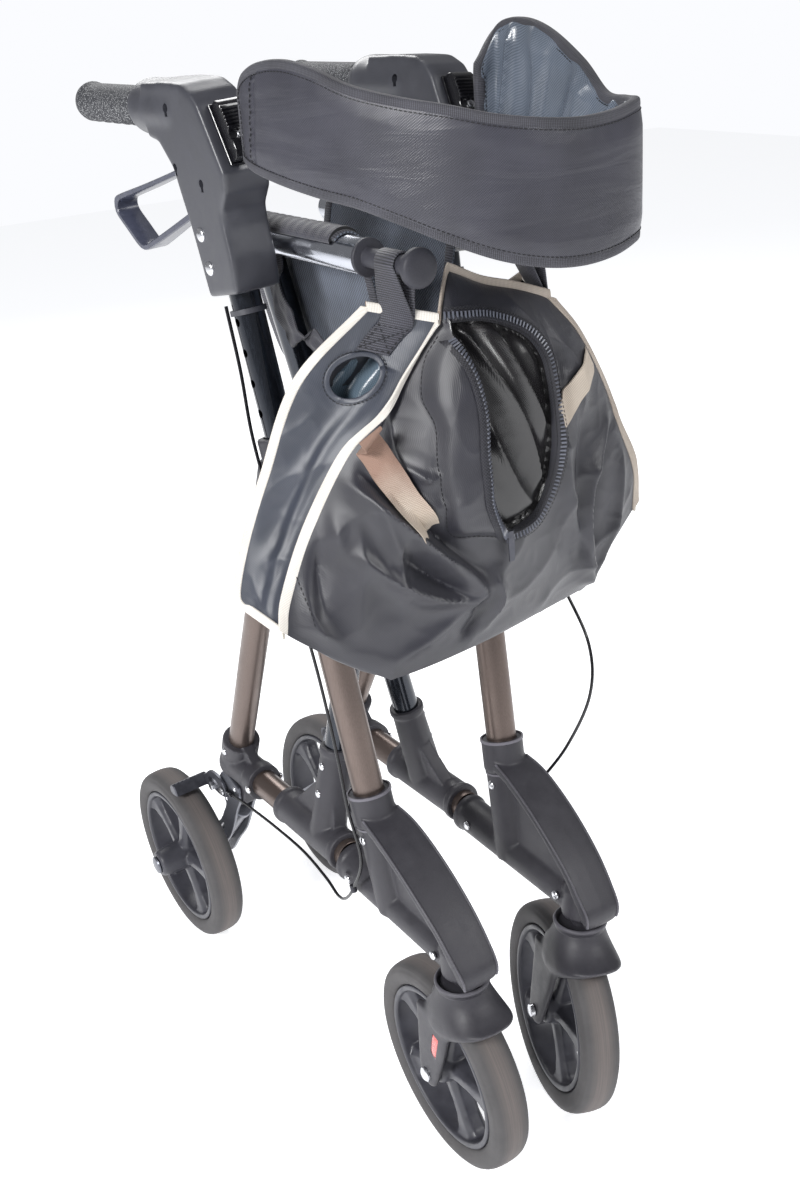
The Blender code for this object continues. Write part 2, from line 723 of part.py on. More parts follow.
def hand_grip():
    """A rubber grip with finger waves beneath, bored for the housing's spigot."""
    rings = []
    steps = 14
    count = 13
    for index in range(count):
        share = index / (count - 1)
        y = GRIP_LENGTH * share
        wave = 0.0012 * math.cos(math.pi * index)
        end = 0.80 if index == count - 1 else 1.0
        flare = 0.0012 if index in (count - 3, count - 2) else 0.0
        ring = []
        for step in range(steps):
            angle = 2.0 * math.pi * step / steps
            beneath = max(0.0, -math.sin(angle))
            radius = (GRIP_RADIUS + wave * beneath + flare) * end
            ring.append(Vector((radius * math.cos(angle), y, radius * math.sin(angle))))
        rings.append(ring)
    shape = moved(lofted(rings), Matrix.Translation((0.0, -0.066 + GAP, GRIP_HEIGHT)))
    bore = rod((0.0, -0.08, GRIP_HEIGHT), (0.0, 0.046 + GAP, GRIP_HEIGHT), SPIGOT_RADIUS + GAP, 16)
    return carved(shape, ("DIFFERENCE", bore))


def brake_lever():
    """A flat band bent to a loop, with its root inside the housing's slot."""
    outer = [(-0.1440, 0.8870), (-0.1340, 0.8880), (-0.1150, 0.8800), (-0.0500, 0.8640)]
    outer += [(0.0120, 0.8500), (0.0220, 0.8455), (0.0250, 0.8380), (0.0220, 0.8310)]
    outer += [(0.0060, 0.8200), (-0.0140, 0.8070), (-0.0240, 0.8045), (-0.0400, 0.8085)]
    outer += [(-0.1000, 0.8310), (-0.1330, 0.8440), (-0.1430, 0.8520), (-0.1460, 0.8740)]
    inner = [(-0.1360, 0.8740), (-0.1310, 0.8745), (-0.1130, 0.8745), (-0.0500, 0.8595)]
    inner += [(0.0080, 0.8460), (0.0165, 0.8425), (0.0190, 0.8380), (0.0165, 0.8330)]
    inner += [(0.0020, 0.8235), (-0.0165, 0.8115), (-0.0235, 0.8095), (-0.0385, 0.8135)]
    inner += [(-0.0980, 0.8360), (-0.1270, 0.8480), (-0.1350, 0.8560), (-0.1370, 0.8680)]
    loop = ring_plate(outer, inner, -LEVER_HALF, LEVER_HALF)
    boss = rod(
        LEVER_PIVOT - Vector((LEVER_HALF, 0.0, 0.0)),
        LEVER_PIVOT + Vector((LEVER_HALF, 0.0, 0.0)),
        0.0070,
        12,
    )
    bore = rod(
        LEVER_PIVOT - Vector((0.02, 0.0, 0.0)),
        LEVER_PIVOT + Vector((0.02, 0.0, 0.0)),
        LEVER_PIN_RADIUS + GAP,
        12,
    )
    return carved(loop, ("UNION", boss), ("DIFFERENCE", bore))


def lever_pin():
    return rod(
        LEVER_PIVOT - Vector((0.0165 - GAP, 0.0, 0.0)),
        LEVER_PIVOT + Vector((HOUSING_HALF - 0.0020, 0.0, 0.0)),
        LEVER_PIN_RADIUS,
        12,
    )


def strap_clip():
    """The ribbed clip on the housing's sloping front that holds the backrest strap."""
    foot = Vector((-0.198, 0.9345))
    along = Vector((-0.0265, -0.0485)).normalized()
    out = Vector((along.y, -along.x))
    shape = [(0.004, GAP), (0.050, GAP), (0.050, 0.0100), (0.0455, 0.0150), (0.0360, 0.0150)]
    shape += [(0.0345, 0.0125), (0.0300, 0.0125), (0.0285, 0.0160), (0.0120, 0.0165), (0.0040, 0.0110)]
    outline = [tuple(foot + along * t + out * h) for t, h in shape]
    return rounded(plate(outline, -0.0115, 0.0115), 0.0008, 1, 40.0)


def cable_route(side_name):
    """Points from the housing down to the front casting's clip and back to the brake arm."""
    down = []
    if side_name == "right":
        for distance, reach, degrees in (
            (0.4325, 0.0172, 33.0),
            (0.380, TUBE_RADIUS + 0.0045, 28.0),
            (0.330, COLLAR_RADIUS + 0.0027, 20.0),
            (0.280, COLLAR_RADIUS + 0.0027, 16.0),
            (0.220, COLLAR_RADIUS + 0.0020, 15.0),
            (0.120, TUBE_RADIUS + 0.0045, 15.0),
            (0.040, TUBE_RADIUS + 0.0060, 13.0),
            (-0.010, COLLAR_RADIUS + 0.0035, 8.0),
            (-0.060, COLLAR_RADIUS + 0.0030, 8.0),
        ):
            centre = main_point(distance)
            angle = math.radians(degrees)
            down.append(centre + Vector((reach * math.cos(angle), reach * math.sin(angle), 0.0)))
    else:
        start = main_point(0.4325)
        down.append(start + Vector((0.0145, 0.0094, 0.0)))
        down += [Vector((0.022, -0.1880, 0.720)), Vector((0.034, -0.2080, 0.640))]
        down += [Vector((0.049, -0.2400, 0.566)), Vector((0.060, -0.2860, 0.496))]
        down += [Vector((0.062, -0.3220, 0.450)), Vector((0.056, -0.3330, 0.405))]
        down += [Vector((0.042, -0.3200, 0.352)), Vector((0.030, -0.2930, 0.303))]
    down += [Vector((0.0235, -0.2620, 0.2520)), Vector((0.0220, -0.2400, 0.2270))]
    down += [Vector((0.0195, -0.2200, 0.2180)), Vector((0.0165, -0.1950, 0.2220))]
    down += [Vector((0.0150, -0.1500, 0.2290)), Vector((0.0150, -0.0900, 0.2285))]
    down += [Vector((0.0150, -0.0300, 0.2240)), Vector((0.0142, 0.0000, 0.2190))]
    down += [Vector((0.0138, 0.0228, 0.2150))]
    return down


def brake_cable(name, side_name, side, look, parent):
    """A thin cable as a curve with round section."""
    curve = bpy.data.curves.new(name, "CURVE")
    curve.dimensions = "3D"
    curve.bevel_depth = CABLE_RADIUS
    curve.bevel_resolution = 2
    curve.use_fill_caps = True
    curve.materials.append(look)
    path = smooth_path(cable_route(side_name), 28)
    line = curve.splines.new("POLY")
    line.points.add(len(path) - 1)
    for point, place in zip(line.points, path):
        point.co = (place.x * side, place.y, place.z, 1.0)
    made = bpy.data.objects.new(name, curve)
    made.parent = parent
    bpy.context.scene.collection.objects.link(made)
    return made


# ---------------------------------------------------------------- middle


def brace_frame(letter):
    """The brace's lower pivot, its rail end and the unit vector between, in the object's frame."""
    sign = -1.0 if letter == "a" else 1.0
    rise = BOTTOM_HEIGHT - LEAN_HEIGHT
    foot = Vector(
        (
            sign * (HALF_TRACK + rise * math.sin(LEAN)),
            LEG_PLANE[letter],
            LEAN_HEIGHT + rise * math.cos(LEAN),
        )
    )
    head = Vector((-sign * RAIL_X, LEG_PLANE[letter], RAIL_Z))
    return foot, head, (head - foot).normalized()


def brace_leg(letter, pin_place):
    """A leg tube, saddled to its rail; leg a is drilled for the scissor pin."""
    foot, head, along = brace_frame(letter)
    tube = pipe(foot + along * LEG_START, head, LEG_RADIUS, LEG_RADIUS - LEG_WALL, 16)
    across = Vector((0.0, 0.05, 0.0))
    steps = [("DIFFERENCE", rod(head - across, head + across, RAIL_RADIUS + GAP, RAIL_STEPS))]
    if letter == "a":
        steps.append(
            ("DIFFERENCE", rod(pin_place - across, pin_place + across, PIN_RADIUS + GAP, 12))
        )
    return carved(tube, *steps)


def brace_sleeve(letter):
    """The moulding that turns on the bottom tube and holds the leg."""
    foot, _, along = brace_frame(letter)
    centre_y = LEG_PLANE[letter]
    base = Vector((foot.x, 0.0, foot.z))
    front, rear = -0.2135, -0.1025
    barrel_radius = TUBE_RADIUS + SLEEVE_WALL
    barrel = turned(
        [(0.0, COLLAR_RADIUS), (0.007, COLLAR_RADIUS), (0.009, barrel_radius), (0.102, barrel_radius)]
        + [(0.104, COLLAR_RADIUS), (0.111, COLLAR_RADIUS)],
        base + Vector((0.0, front, 0.0)),
        (0.0, 1.0, 0.0),
    )
    socket = turned(
        [(0.0, 0.0175), (0.060, 0.0160), (SLEEVE_REACH - 0.008, 0.0155), (SLEEVE_REACH - 0.006, 0.0170)]
        + [(SLEEVE_REACH, 0.0170)],
        foot,
        along,
    )
    gusset = plate(
        [(front + 0.014, 0.010), (centre_y - 0.0120, 0.058)]
        + [(centre_y + 0.0120, 0.058), (rear - 0.014, 0.010)],
        -0.0075,
        0.0075,
    )
    tilt = math.atan2(along.x, along.z)
    gusset = moved(gusset, Matrix.Translation(base) @ Matrix.Rotation(tilt, 4, "Y"))
    start, end = base + Vector((0.0, -0.23, 0.0)), base + Vector((0.0, -0.08, 0.0))
    tube_bore = rod(start, end, TUBE_RADIUS + GAP, 2 * TUBE_STEPS)
    leg_bore = rod(foot + along * (LEG_START - GAP), foot + along * 0.12, LEG_RADIUS + GAP, 16)
    outboard = -1.0 if letter == "a" else 1.0
    rivets = []
    for reach in (0.050, 0.078):
        place = foot + along * reach
        rivets.append(
            rod(
                place + Vector((outboard * 0.0135, 0.0, 0.0)),
                place + Vector((outboard * 0.0188, 0.0, 0.0)),
                0.0040,
                8,
            )
        )
    return carved(
        barrel,
        ("UNION", socket),
        ("UNION", gusset),
        ("UNION", rivets[0]),
        ("UNION", rivets[1]),
        ("DIFFERENCE", tube_bore),
        ("DIFFERENCE", leg_bore),
    )


def seat_rail(x):
    """A polished tube closed at the back, along y."""
    length = RAIL_REAR - RAIL_FRONT
    profile = [
        (0.0, RAIL_RADIUS - RAIL_WALL),
        (0.0, RAIL_RADIUS),
        (length - 0.003, RAIL_RADIUS),
        (length, RAIL_RADIUS - 0.003),
        (length, 0.0),
    ]
    shell = turned(profile, (x, RAIL_FRONT, RAIL_Z), (0.0, 1.0, 0.0), RAIL_STEPS)
    start, end = (x, RAIL_FRONT - 0.01, RAIL_Z), (x, RAIL_REAR - 0.006, RAIL_Z)
    bore = rod(start, end, RAIL_RADIUS - RAIL_WALL, RAIL_STEPS)
    return carved(shell, ("DIFFERENCE", bore))


def rail_peg(x):
    """The plug at a rail's front end, with the peg and disc that hold a bag loop."""
    inside = RAIL_RADIUS - RAIL_WALL - GAP
    profile = [(0.0, 0.0), (0.0, inside), (0.020, inside)]
    profile += [(0.020 + GAP, RAIL_RADIUS + 0.0010), (0.0235, RAIL_RADIUS + 0.0010)]
    profile += [(0.0245, PEG_RADIUS), (0.0245 + PEG_LENGTH, PEG_RADIUS)]
    profile += [(0.0250 + PEG_LENGTH, 0.0140), (0.0300 + PEG_LENGTH, 0.0145)]
    profile += [(0.0325 + PEG_LENGTH, 0.0115), (0.0332 + PEG_LENGTH, 0.0)]
    return turned(profile, (x, RAIL_FRONT + 0.020, RAIL_Z), (0.0, -1.0, 0.0), 16)


def seat_sling():
    """The mesh seat, hanging in a V between the folded rails."""
    reach = RAIL_RADIUS + GAP + SLING_THICKNESS / 2.0 + 0.00015
    middle = []
    for degrees in range(45, 166, 15):
        angle = math.radians(degrees)
        middle.append((RAIL_X + reach * math.cos(angle), RAIL_Z + reach * math.sin(angle)))
    foot, head, along = brace_frame("a")
    for drop, clearance in SLING_CLEARANCES:
        leg_x = head.x - drop * along.x / along.z
        middle.append((leg_x - LEG_RADIUS / along.z - clearance, RAIL_Z - drop))
    middle += [(0.0070, RAIL_Z - 0.1285), (0.0, RAIL_Z - 0.1315)]
    middle += [(-x, z) for x, z in reversed(middle[:-1])]
    low, high = -0.2860, -0.0850
    half = SLING_THICKNESS / 2.0
    upper, lower = [], []
    for index, (x, z) in enumerate(middle):
        before = middle[max(index - 1, 0)]
        after = middle[min(index + 1, len(middle) - 1)]
        along = Vector((after[0] - before[0], after[1] - before[1])).normalized()
        normal = Vector((-along.y, along.x)) * half
        upper.append((x + normal.x, z + normal.y))
        lower.append((x - normal.x, z - normal.y))
    rings = []
    for top, bottom in zip(upper, lower):
        rings.append(
            [
                Vector((top[0], low, top[1])),
                Vector((top[0], high, top[1])),
                Vector((bottom[0], high, bottom[1])),
                Vector((bottom[0], low, bottom[1])),
            ]
        )
    return lofted(rings)


def bag_loop(sign):
    """A webbing loop round the peg, its tail lying on the bag's side."""
    tight = PEG_RADIUS + 0.0005
    turns = [2.0 * math.pi * step / 14 for step in range(14)]
    inner = [(RAIL_X + tight * math.cos(t), RAIL_Z + tight * math.sin(t)) for t in turns]
    wide = tight + WEBBING
    outer = [(RAIL_X + wide * math.cos(t), RAIL_Z + wide * math.sin(t)) for t in turns]
    tail = [(-0.0025, -0.0085), (0.0020, -0.0085), (0.0075, -0.0290), (0.0215, -0.0508)]
    tail += [(0.0335, -0.0660), (0.0316, -0.0678), (0.0189, -0.0525), (0.0042, -0.0315)]
    tail = [(RAIL_X + x, RAIL_Z + z) for x, z in tail]
    ring = ring_plate(outer, inner, LOOP_FRONT, LOOP_REAR, "y")
    joined = carved(ring, ("UNION", plate(tail, LOOP_FRONT, LOOP_REAR, "y")))
    if sign < 0:
        joined.transform(Matrix.Scale(-1.0, 4, (1.0, 0.0, 0.0)))
        joined.flip_normals()
    return joined


def scissor_pin(place):
    """The bolt through leg a, its head in front; its tail stops short of leg b."""
    front = -(LEG_RADIUS + GAP)
    profile = [
        (front - 0.0040, 0.0),
        (front - 0.0035, 0.0050),
        (front - 0.0015, 0.0065),
        (front, 0.0065),
        (front, PIN_RADIUS),
        (LEG_RADIUS + 0.0004, PIN_RADIUS),
        (LEG_RADIUS + 0.0004, 0.0),
    ]
    return turned(profile, place, (0.0, 1.0, 0.0), 12)


def shopping_bag():
    """An open bag, narrow at its top corners and wide low down, its front bulging forward."""
    levels = [
        (0.5030, 0.098, 0.030, -0.2800),
        (0.5120, 0.128, 0.040, -0.2790),
        (0.5420, 0.170, 0.050, -0.2780),
        (0.5720, 0.188, 0.056, -0.2780),
        (0.6200, 0.178, 0.062, -0.2800),
        (0.6800, 0.148, 0.058, -0.2890),
        (0.7300, 0.108, 0.046, -0.3000),
        (0.7700, 0.076, 0.034, -0.3080),
        (0.7920, 0.060, 0.024, -0.3120),
    ]
    side_depth = 0.046

    def ring(z, half, bulge, rear, inset):
        front_y = rear - side_depth
        points = []
        for step in range(11):
            share = step / 10.0
            x = (half - inset) * (1.0 - 2.0 * share)
            fold = 0.004 * math.sin(3.0 * math.pi * share) * (z < 0.75)
            y = front_y - bulge * math.sin(math.pi * share) ** 0.8 - fold + inset
            points.append(Vector((x, y, z)))
        for step in range(5):
            share = step / 4.0
            x = -(half - inset) * (1.0 - 2.0 * share)
            points.append(Vector((x, rear - inset - 0.004 * math.sin(math.pi * share), z)))
        return points

    outside = [ring(*level, 0.0) for level in levels]
    inside = [ring(*level, BAG_WALL) for level in levels[1:]]
    narrowing = levels[0][1] / levels[1][1]
    floor = levels[0][0] + 2.0 * BAG_WALL
    inside[0] = [Vector((point.x * narrowing, point.y, floor)) for point in inside[0]]
    return lofted(outside + inside[::-1])


def backrest_strap():
    """The padded strap from one handle's clip round the front to the other's."""
    stations = [
        (-0.1059, -0.2334, 0.894, 0.934),
        (-0.1082, -0.2520, 0.884, 0.950),
        (-0.1060, -0.3000, 0.875, 0.961),
        (-0.0940, -0.3500, 0.862, 0.950),
        (-0.0700, -0.4000, 0.850, 0.937),
        (-0.0300, -0.4340, 0.832, 0.925),
        (0.0200, -0.4470, 0.823, 0.920),
        (0.0700, -0.4400, 0.820, 0.918),
        (0.1050, -0.4200, 0.821, 0.918),
        (0.1230, -0.3860, 0.824, 0.922),
        (0.1300, -0.3400, 0.838, 0.937),
        (0.1310, -0.2900, 0.858, 0.960),
        (0.1240, -0.2580, 0.878, 0.970),
        (0.1059, -0.2362, 0.896, 0.934),
    ]
    line = [Vector((x, y, 0.0)) for x, y, low, high in stations]
    count = 26
    path = smooth_path(line, count)
    low_line = smooth_path([Vector((x, y, low)) for x, y, low, high in stations], count)
    high_line = smooth_path([Vector((x, y, high)) for x, y, low, high in stations], count)
    rings = []
    for index, place in enumerate(path):
        before = path[max(index - 1, 0)]
        after = path[min(index + 1, len(path) - 1)]
        along = (after - before).normalized()
        out = Vector((along.y, -along.x, 0.0))
        low, high = low_line[index].z, high_line[index].z
        half = STRAP_THICKNESS / 2.0
        ring = []
        for share, thick in ((0.0, 0.35), (0.12, 0.95), (0.88, 0.95), (1.0, 0.35)):
            ring.append(place + out * half * thick + Vector((0.0, 0.0, low + (high - low) * share)))
        for share, thick in ((1.0, 0.35), (0.88, 0.95), (0.12, 0.95), (0.0, 0.35)):
            ring.append(place - out * half * thick + Vector((0.0, 0.0, low + (high - low) * share)))
        rings.append(ring)
    return lofted(rings)


# ---------------------------------------------------------------- assembly


def build_side(name, side, looks):
    """All the pieces of one side frame, with its handle, brake, caster and wheels."""
    sink = WHEEL_RADIUS * (1.0 - math.cos(LEAN))
    frame = empty(
        name + "_frame_axes",
        (
            side * (HALF_TRACK - LEAN_HEIGHT * math.sin(LEAN)),
            CENTRE_SHIFT,
            LEAN_HEIGHT * (1.0 - math.cos(LEAN)) - sink,
        ),
        turn=(0.0, side * LEAN, 0.0),
    )

    def add(piece, mesh, look, parent=frame, origin=(0.0, 0.0, 0.0)):
        return node(f"{name}_{piece}", mesh, looks[look], parent, origin, side)

    low, high = (main_point(distance) for distance in MAIN_TUBE_ENDS)
    main = pipe(low, high, TUBE_RADIUS, TUBE_RADIUS - TUBE_WALL)
    add("main_tube", main, "bronze")
    low, high = (rear_point(distance) for distance in REAR_TUBE_ENDS)
    rear = pipe(low, high, REAR_TUBE_RADIUS, REAR_TUBE_RADIUS - TUBE_WALL)
    add("rear_tube", rear, "bronze")
    low, high = (Vector((0.0, y, BOTTOM_HEIGHT)) for y in BOTTOM_TUBE_ENDS)
    bottom = pipe(low, high, TUBE_RADIUS, TUBE_RADIUS - TUBE_WALL)
    add("bottom_tube", bottom, "bronze")
    add("front_casting", front_casting(), "moulding")
    add("rear_casting", rear_casting(), "moulding")
    add("frame_junction", frame_junction(), "moulding")
    add("rear_strut", rear_strut(), "grey_metal")
    add("rear_axle", rear_axle(), "steel")

    handle_origin = main_point(0.45)
    handle = empty(name + "_handle_axes", handle_origin, frame)
    low, high = (main_point(distance) for distance in HANDLE_TUBE_ENDS)
    tube = pipe(low, high, HANDLE_TUBE_RADIUS, HANDLE_TUBE_RADIUS - TUBE_WALL)
    holes = []
    for distance in (0.3350, 0.3590):
        place = main_point(distance)
        holes.append(("DIFFERENCE", rod(place, place + Vector((0.03, 0.0, 0.0)), 0.0022, 8)))
    add("handle_tube", carved(tube, *holes), "black_tube", handle, handle_origin)
    add("handle_housing", handle_housing(), "moulding", handle, handle_origin)
    add("hand_grip", hand_grip(), "grip", handle, handle_origin)
    add("lever_pin", lever_pin(), "steel", handle, handle_origin)
    add("strap_clip", strap_clip(), "black_plastic", handle, handle_origin)
    lever = empty(name + "_lever_axes", LEVER_PIVOT - handle_origin, handle)
    add("brake_lever", brake_lever(), "lever", lever, LEVER_PIVOT)
    brake = empty(name + "_brake_axes", BRAKE_PIVOT, frame)
    add("brake_arm", brake_arm(), "dark_steel", brake, BRAKE_PIVOT)

    swivel = SWIVEL[name]
    outboard = -side * TRAIL * math.sin(swivel)
    caster = empty(
        name + "_caster_axes", (0.0, STEM_Y, outboard * math.tan(LEAN)), frame, (0.0, 0.0, swivel)
    )
    add("caster_fork", caster_fork(), "moulding", caster)
    add("fork_reflector", fork_reflector(), "reflector", caster)
    add("front_axle", front_axle(), "steel", caster)
    centre = Vector((0.0, TRAIL, WHEEL_RADIUS))
    front_wheel = empty(name + "_front_wheel_axes", centre, caster)
    front_rim = rim(-FRONT_HUB_HALF, FRONT_HUB_HALF, FRONT_HUB_RADIUS, 0.0100)
    add("front_tyre", tyre(), "tyre", front_wheel)
    add("front_rim", front_rim, "rim", front_wheel)

    rear_wheel = empty(
        name + "_rear_wheel_axes",
        (side * REAR_WHEEL_OUT, REAR_AXLE_Y, REAR_AXLE_Z),
        frame,
    )
    rear_rim = rim(-(REAR_WHEEL_OUT - STRUT_HALF - GAP), REAR_HUB_REACH, REAR_HUB_RADIUS, 0.0100)
    add("rear_tyre", tyre(), "tyre", rear_wheel)
    add("rear_rim", rear_rim, "rim", rear_wheel)
    brake_cable(f"{name}_brake_cable", name, side, looks["cable"], frame)


def build():
    for old in list(bpy.data.objects):
        bpy.data.objects.remove(old)
    looks = {
        "bronze": material("bronze", colour(128, 114, 108), 0.32, 0.75),
        "moulding": material("moulding", colour(66, 66, 70), 0.52, 0.0),
        "black_tube": material("black_tube", colour(30, 32, 38), 0.18, 0.25),
        "black_plastic": material("black_plastic", colour(28, 28, 30), 0.35, 0.0),
        "grip": material("grip", colour(58, 58, 60), 0.80, 0.0),
        "lever": material("lever", colour(62, 62, 74), 0.40, 0.0),
        "steel": material("steel", colour(200, 200, 202), 0.28, 1.0),
        "dark_steel": material("dark_steel", colour(70, 70, 74), 0.40, 0.6),
        "grey_metal": material("grey_metal", colour(120, 120, 122), 0.38, 0.8),
        "tyre": material("tyre", colour(98, 95, 92), 0.75, 0.0),
        "rim": material("rim", colour(52, 52, 58), 0.45, 0.0),
        "reflector": material("reflector", colour(200, 40, 40), 0.25, 0.0),
        "cable": material("cable", colour(18, 18, 20), 0.40, 0.0),
        "chrome": material("chrome", colour(70, 74, 84), 0.12, 0.9),
        "strap": material("strap", colour(40, 40, 48), 0.45, 0.0),
        "mesh": material("mesh", colour(88, 90, 94), 0.80, 0.0),
        "bag": material("bag", colour(52, 52, 62), 0.50, 0.0),
        "webbing": material("webbing", colour(36, 36, 40), 0.75, 0.0),
    }
    for name, side in SIDES:
        build_side(name, side, looks)

    sink = WHEEL_RADIUS * (1.0 - math.cos(LEAN))
    middle = empty("brace_axes", (0.0, CENTRE_SHIFT, -sink))
    foot_a, head_a, along_a = brace_frame("a")
    pin_reach = -foot_a.x / along_a.x
    pin_place = foot_a + along_a * pin_reach
    axes = {}
    for letter in ("a", "b"):
        foot, head, along = brace_frame(letter)
        origin = Vector((foot.x, 0.0, foot.z))
        axes[letter] = empty(f"brace_{letter}_axes", origin, middle)
        node(f"brace_{letter}_leg", brace_leg(letter, pin_place), looks["black_tube"], axes[letter], origin)
        node(f"brace_{letter}_sleeve", brace_sleeve(letter), looks["moulding"], axes[letter], origin)
        rail = "left" if letter == "a" else "right"
        x = RAIL_X if letter == "a" else -RAIL_X
        node(f"seat_rail_{rail}", seat_rail(x), looks["chrome"], axes[letter], origin)
        node(f"rail_peg_{rail}", rail_peg(x), looks["moulding"], axes[letter], origin)
    origin = Vector((foot_a.x, 0.0, foot_a.z))
    node("scissor_pin", scissor_pin(pin_place), looks["steel"], axes["a"], origin)
    node("seat_sling", seat_sling(), looks["mesh"], middle)
    node("backrest_strap", backrest_strap(), looks["strap"], middle)
    node("shopping_bag", shopping_bag(), looks["bag"], middle)
    for name, side in SIDES:
        peg = Vector((side * RAIL_X, 0.0, RAIL_Z))
        hanger = empty(name + "_hanger_axes", peg, middle)
        node(f"bag_loop_{name}", bag_loop(side), looks["webbing"], hanger, peg)


build()
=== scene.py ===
"""The looks of a side-folding rollator, folded: bronze tubes in grey moulded castings, rubber
wheels on casters, a black backrest strap, a mesh seat and a nylon shopping bag with pale piping."""

import math

import bmesh
import bpy
import numpy as np
from mathutils import Matrix, Vector, noise
from mathutils.bvhtree import BVHTree


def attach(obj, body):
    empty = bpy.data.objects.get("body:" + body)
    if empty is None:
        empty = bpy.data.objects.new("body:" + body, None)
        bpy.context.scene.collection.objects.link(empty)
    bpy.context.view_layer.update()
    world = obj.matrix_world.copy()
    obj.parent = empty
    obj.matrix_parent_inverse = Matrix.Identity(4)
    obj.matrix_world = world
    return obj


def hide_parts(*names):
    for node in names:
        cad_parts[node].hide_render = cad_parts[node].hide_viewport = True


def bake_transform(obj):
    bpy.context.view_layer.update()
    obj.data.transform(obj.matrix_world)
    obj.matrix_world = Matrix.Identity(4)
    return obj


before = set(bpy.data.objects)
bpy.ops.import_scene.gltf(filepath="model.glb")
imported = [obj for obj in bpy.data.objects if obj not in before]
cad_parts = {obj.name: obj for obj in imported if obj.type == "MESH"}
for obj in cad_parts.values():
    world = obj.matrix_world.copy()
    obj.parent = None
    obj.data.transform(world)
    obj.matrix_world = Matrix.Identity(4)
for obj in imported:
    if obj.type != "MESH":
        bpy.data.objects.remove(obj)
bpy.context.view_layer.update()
scene = bpy.context.scene

# The studio. A pale seamless floor and a white room, lit by three large soft panels, with the
# camera a little above the handles on the object's front right.


def linear(shade):
    """A hex colour as the linear colour that a shader takes."""
    parts = [int(shade[at : at + 2], 16) / 255 for at in (1, 3, 5)]
    return (*(p / 12.92 if p <= 0.04045 else ((p + 0.055) / 1.055) ** 2.4 for p in parts), 1.0)


def add_node(tree, kind, inputs=None, **settings):
    """A new node with its settings, and its inputs as values or as links from other sockets."""
    made = tree.nodes.new(kind)
    for name, value in settings.items():
        setattr(made, name, value)
    for name, value in (inputs or {}).items():
        if isinstance(value, bpy.types.NodeSocket):
            tree.links.new(value, made.inputs[name])
        else:
            made.inputs[name].default_value = value
    return made


def placed(name, data):
    """An object in the scene with this data."""
    made = bpy.data.objects.new(name, data)
    scene.collection.objects.link(made)
    return made


def start_finish(name, colour, roughness, **sockets):
    """A material with its even values on the shader's own sockets."""
    finish = bpy.data.materials.new(name)
    finish.use_nodes = True
    shader = finish.node_tree.nodes["Principled BSDF"]
    shader.inputs["Base Color"].default_value = linear(colour)
    shader.inputs["Roughness"].default_value = roughness
    for socket, value in sockets.items():
        shader.inputs[socket.replace("_", " ")].default_value = value
    return finish


def lead(finish, socket, output):
    """Links an output to a socket of the finish's shader."""
    tree = finish.node_tree
    tree.links.new(output, tree.nodes["Principled BSDF"].inputs[socket])


def tint(finish, share, dark, pale):
    """Colours the finish from dark to pale as the share rises. Dark may be a colour made before."""
    first = linear(dark) if isinstance(dark, str) else dark
    ends = {0: share, 6: first, 7: linear(pale)}
    mix = add_node(finish.node_tree, "ShaderNodeMix", ends, data_type="RGBA")
    lead(finish, "Base Color", mix.outputs[2])
    return mix.outputs[2]


scene.view_settings.view_transform = "Standard"
scene.view_settings.look = "None"
room = bpy.data.worlds.new("white_room")
room.use_nodes = True
room.node_tree.nodes["Background"].inputs["Color"].default_value = linear("#fbfcff")
# the room looks white but lights the object softly, so that the panels shape it
ray_kind = add_node(room.node_tree, "ShaderNodeLightPath")
glow = add_node(room.node_tree, "ShaderNodeMapRange", {0: ray_kind.outputs["Is Camera Ray"], 3: 0.26, 4: 1.0})
room.node_tree.links.new(glow.outputs[0], room.node_tree.nodes["Background"].inputs["Strength"])
scene.world = room

floor_size = 6.0
paper_mesh = bpy.data.meshes.new("floor")
corners = [(-floor_size, -floor_size, 0), (floor_size, -floor_size, 0)]
corners += [(floor_size, floor_size, 0), (-floor_size, floor_size, 0)]
paper_mesh.from_pydata(corners, [], [(0, 1, 2, 3)])
floor = placed("floor", paper_mesh)
# matt seamless paper, faintly mottled, glowing a little like a lit sweep
lit = {"Emission_Color": (0.97, 0.98, 1.0, 1.0), "Emission_Strength": 0.68}
paper = start_finish("seamless_paper", "#fbfbfc", 0.9, **lit)
mottle = add_node(paper.node_tree, "ShaderNodeTexNoise", {"Scale": 3.0, "Detail": 2.0})
tint(paper, mottle.outputs[0], "#fdfdfd", "#f7f8fa")
paper_mesh.materials.append(paper)

for name, place, target, size, power in (
    ("key_panel", (-2.5, -0.9, 1.9), (0.0, 0.0, 0.55), 0.8, 76.0),
    ("fill_panel", (1.2, -2.3, 2.3), (0.0, 0.0, 0.5), 0.9, 34.0),
    ("back_panel", (0.6, 2.2, 2.3), (0.0, 0.0, 0.6), 1.4, 36.0),
):
    lamp = bpy.data.lights.new(name, "AREA")
    lamp.shape = "SQUARE"
    lamp.size = size
    lamp.energy = power
    holder = placed(name, lamp)
    holder.location = place
    holder.rotation_euler = (Vector(target) - Vector(place)).to_track_quat("-Z", "Y").to_euler()

lens = bpy.data.cameras.new("camera")
lens.sensor_fit = "VERTICAL"
lens.sensor_height = 36.0
lens.lens = 42.918
camera = placed("camera", lens)
camera.location = (-0.61732, -1.09854, 1.01184)
camera.rotation_euler = [math.radians(turn) for turn in (66.3099, 3.7493, -33.5798)]
scene.camera = camera

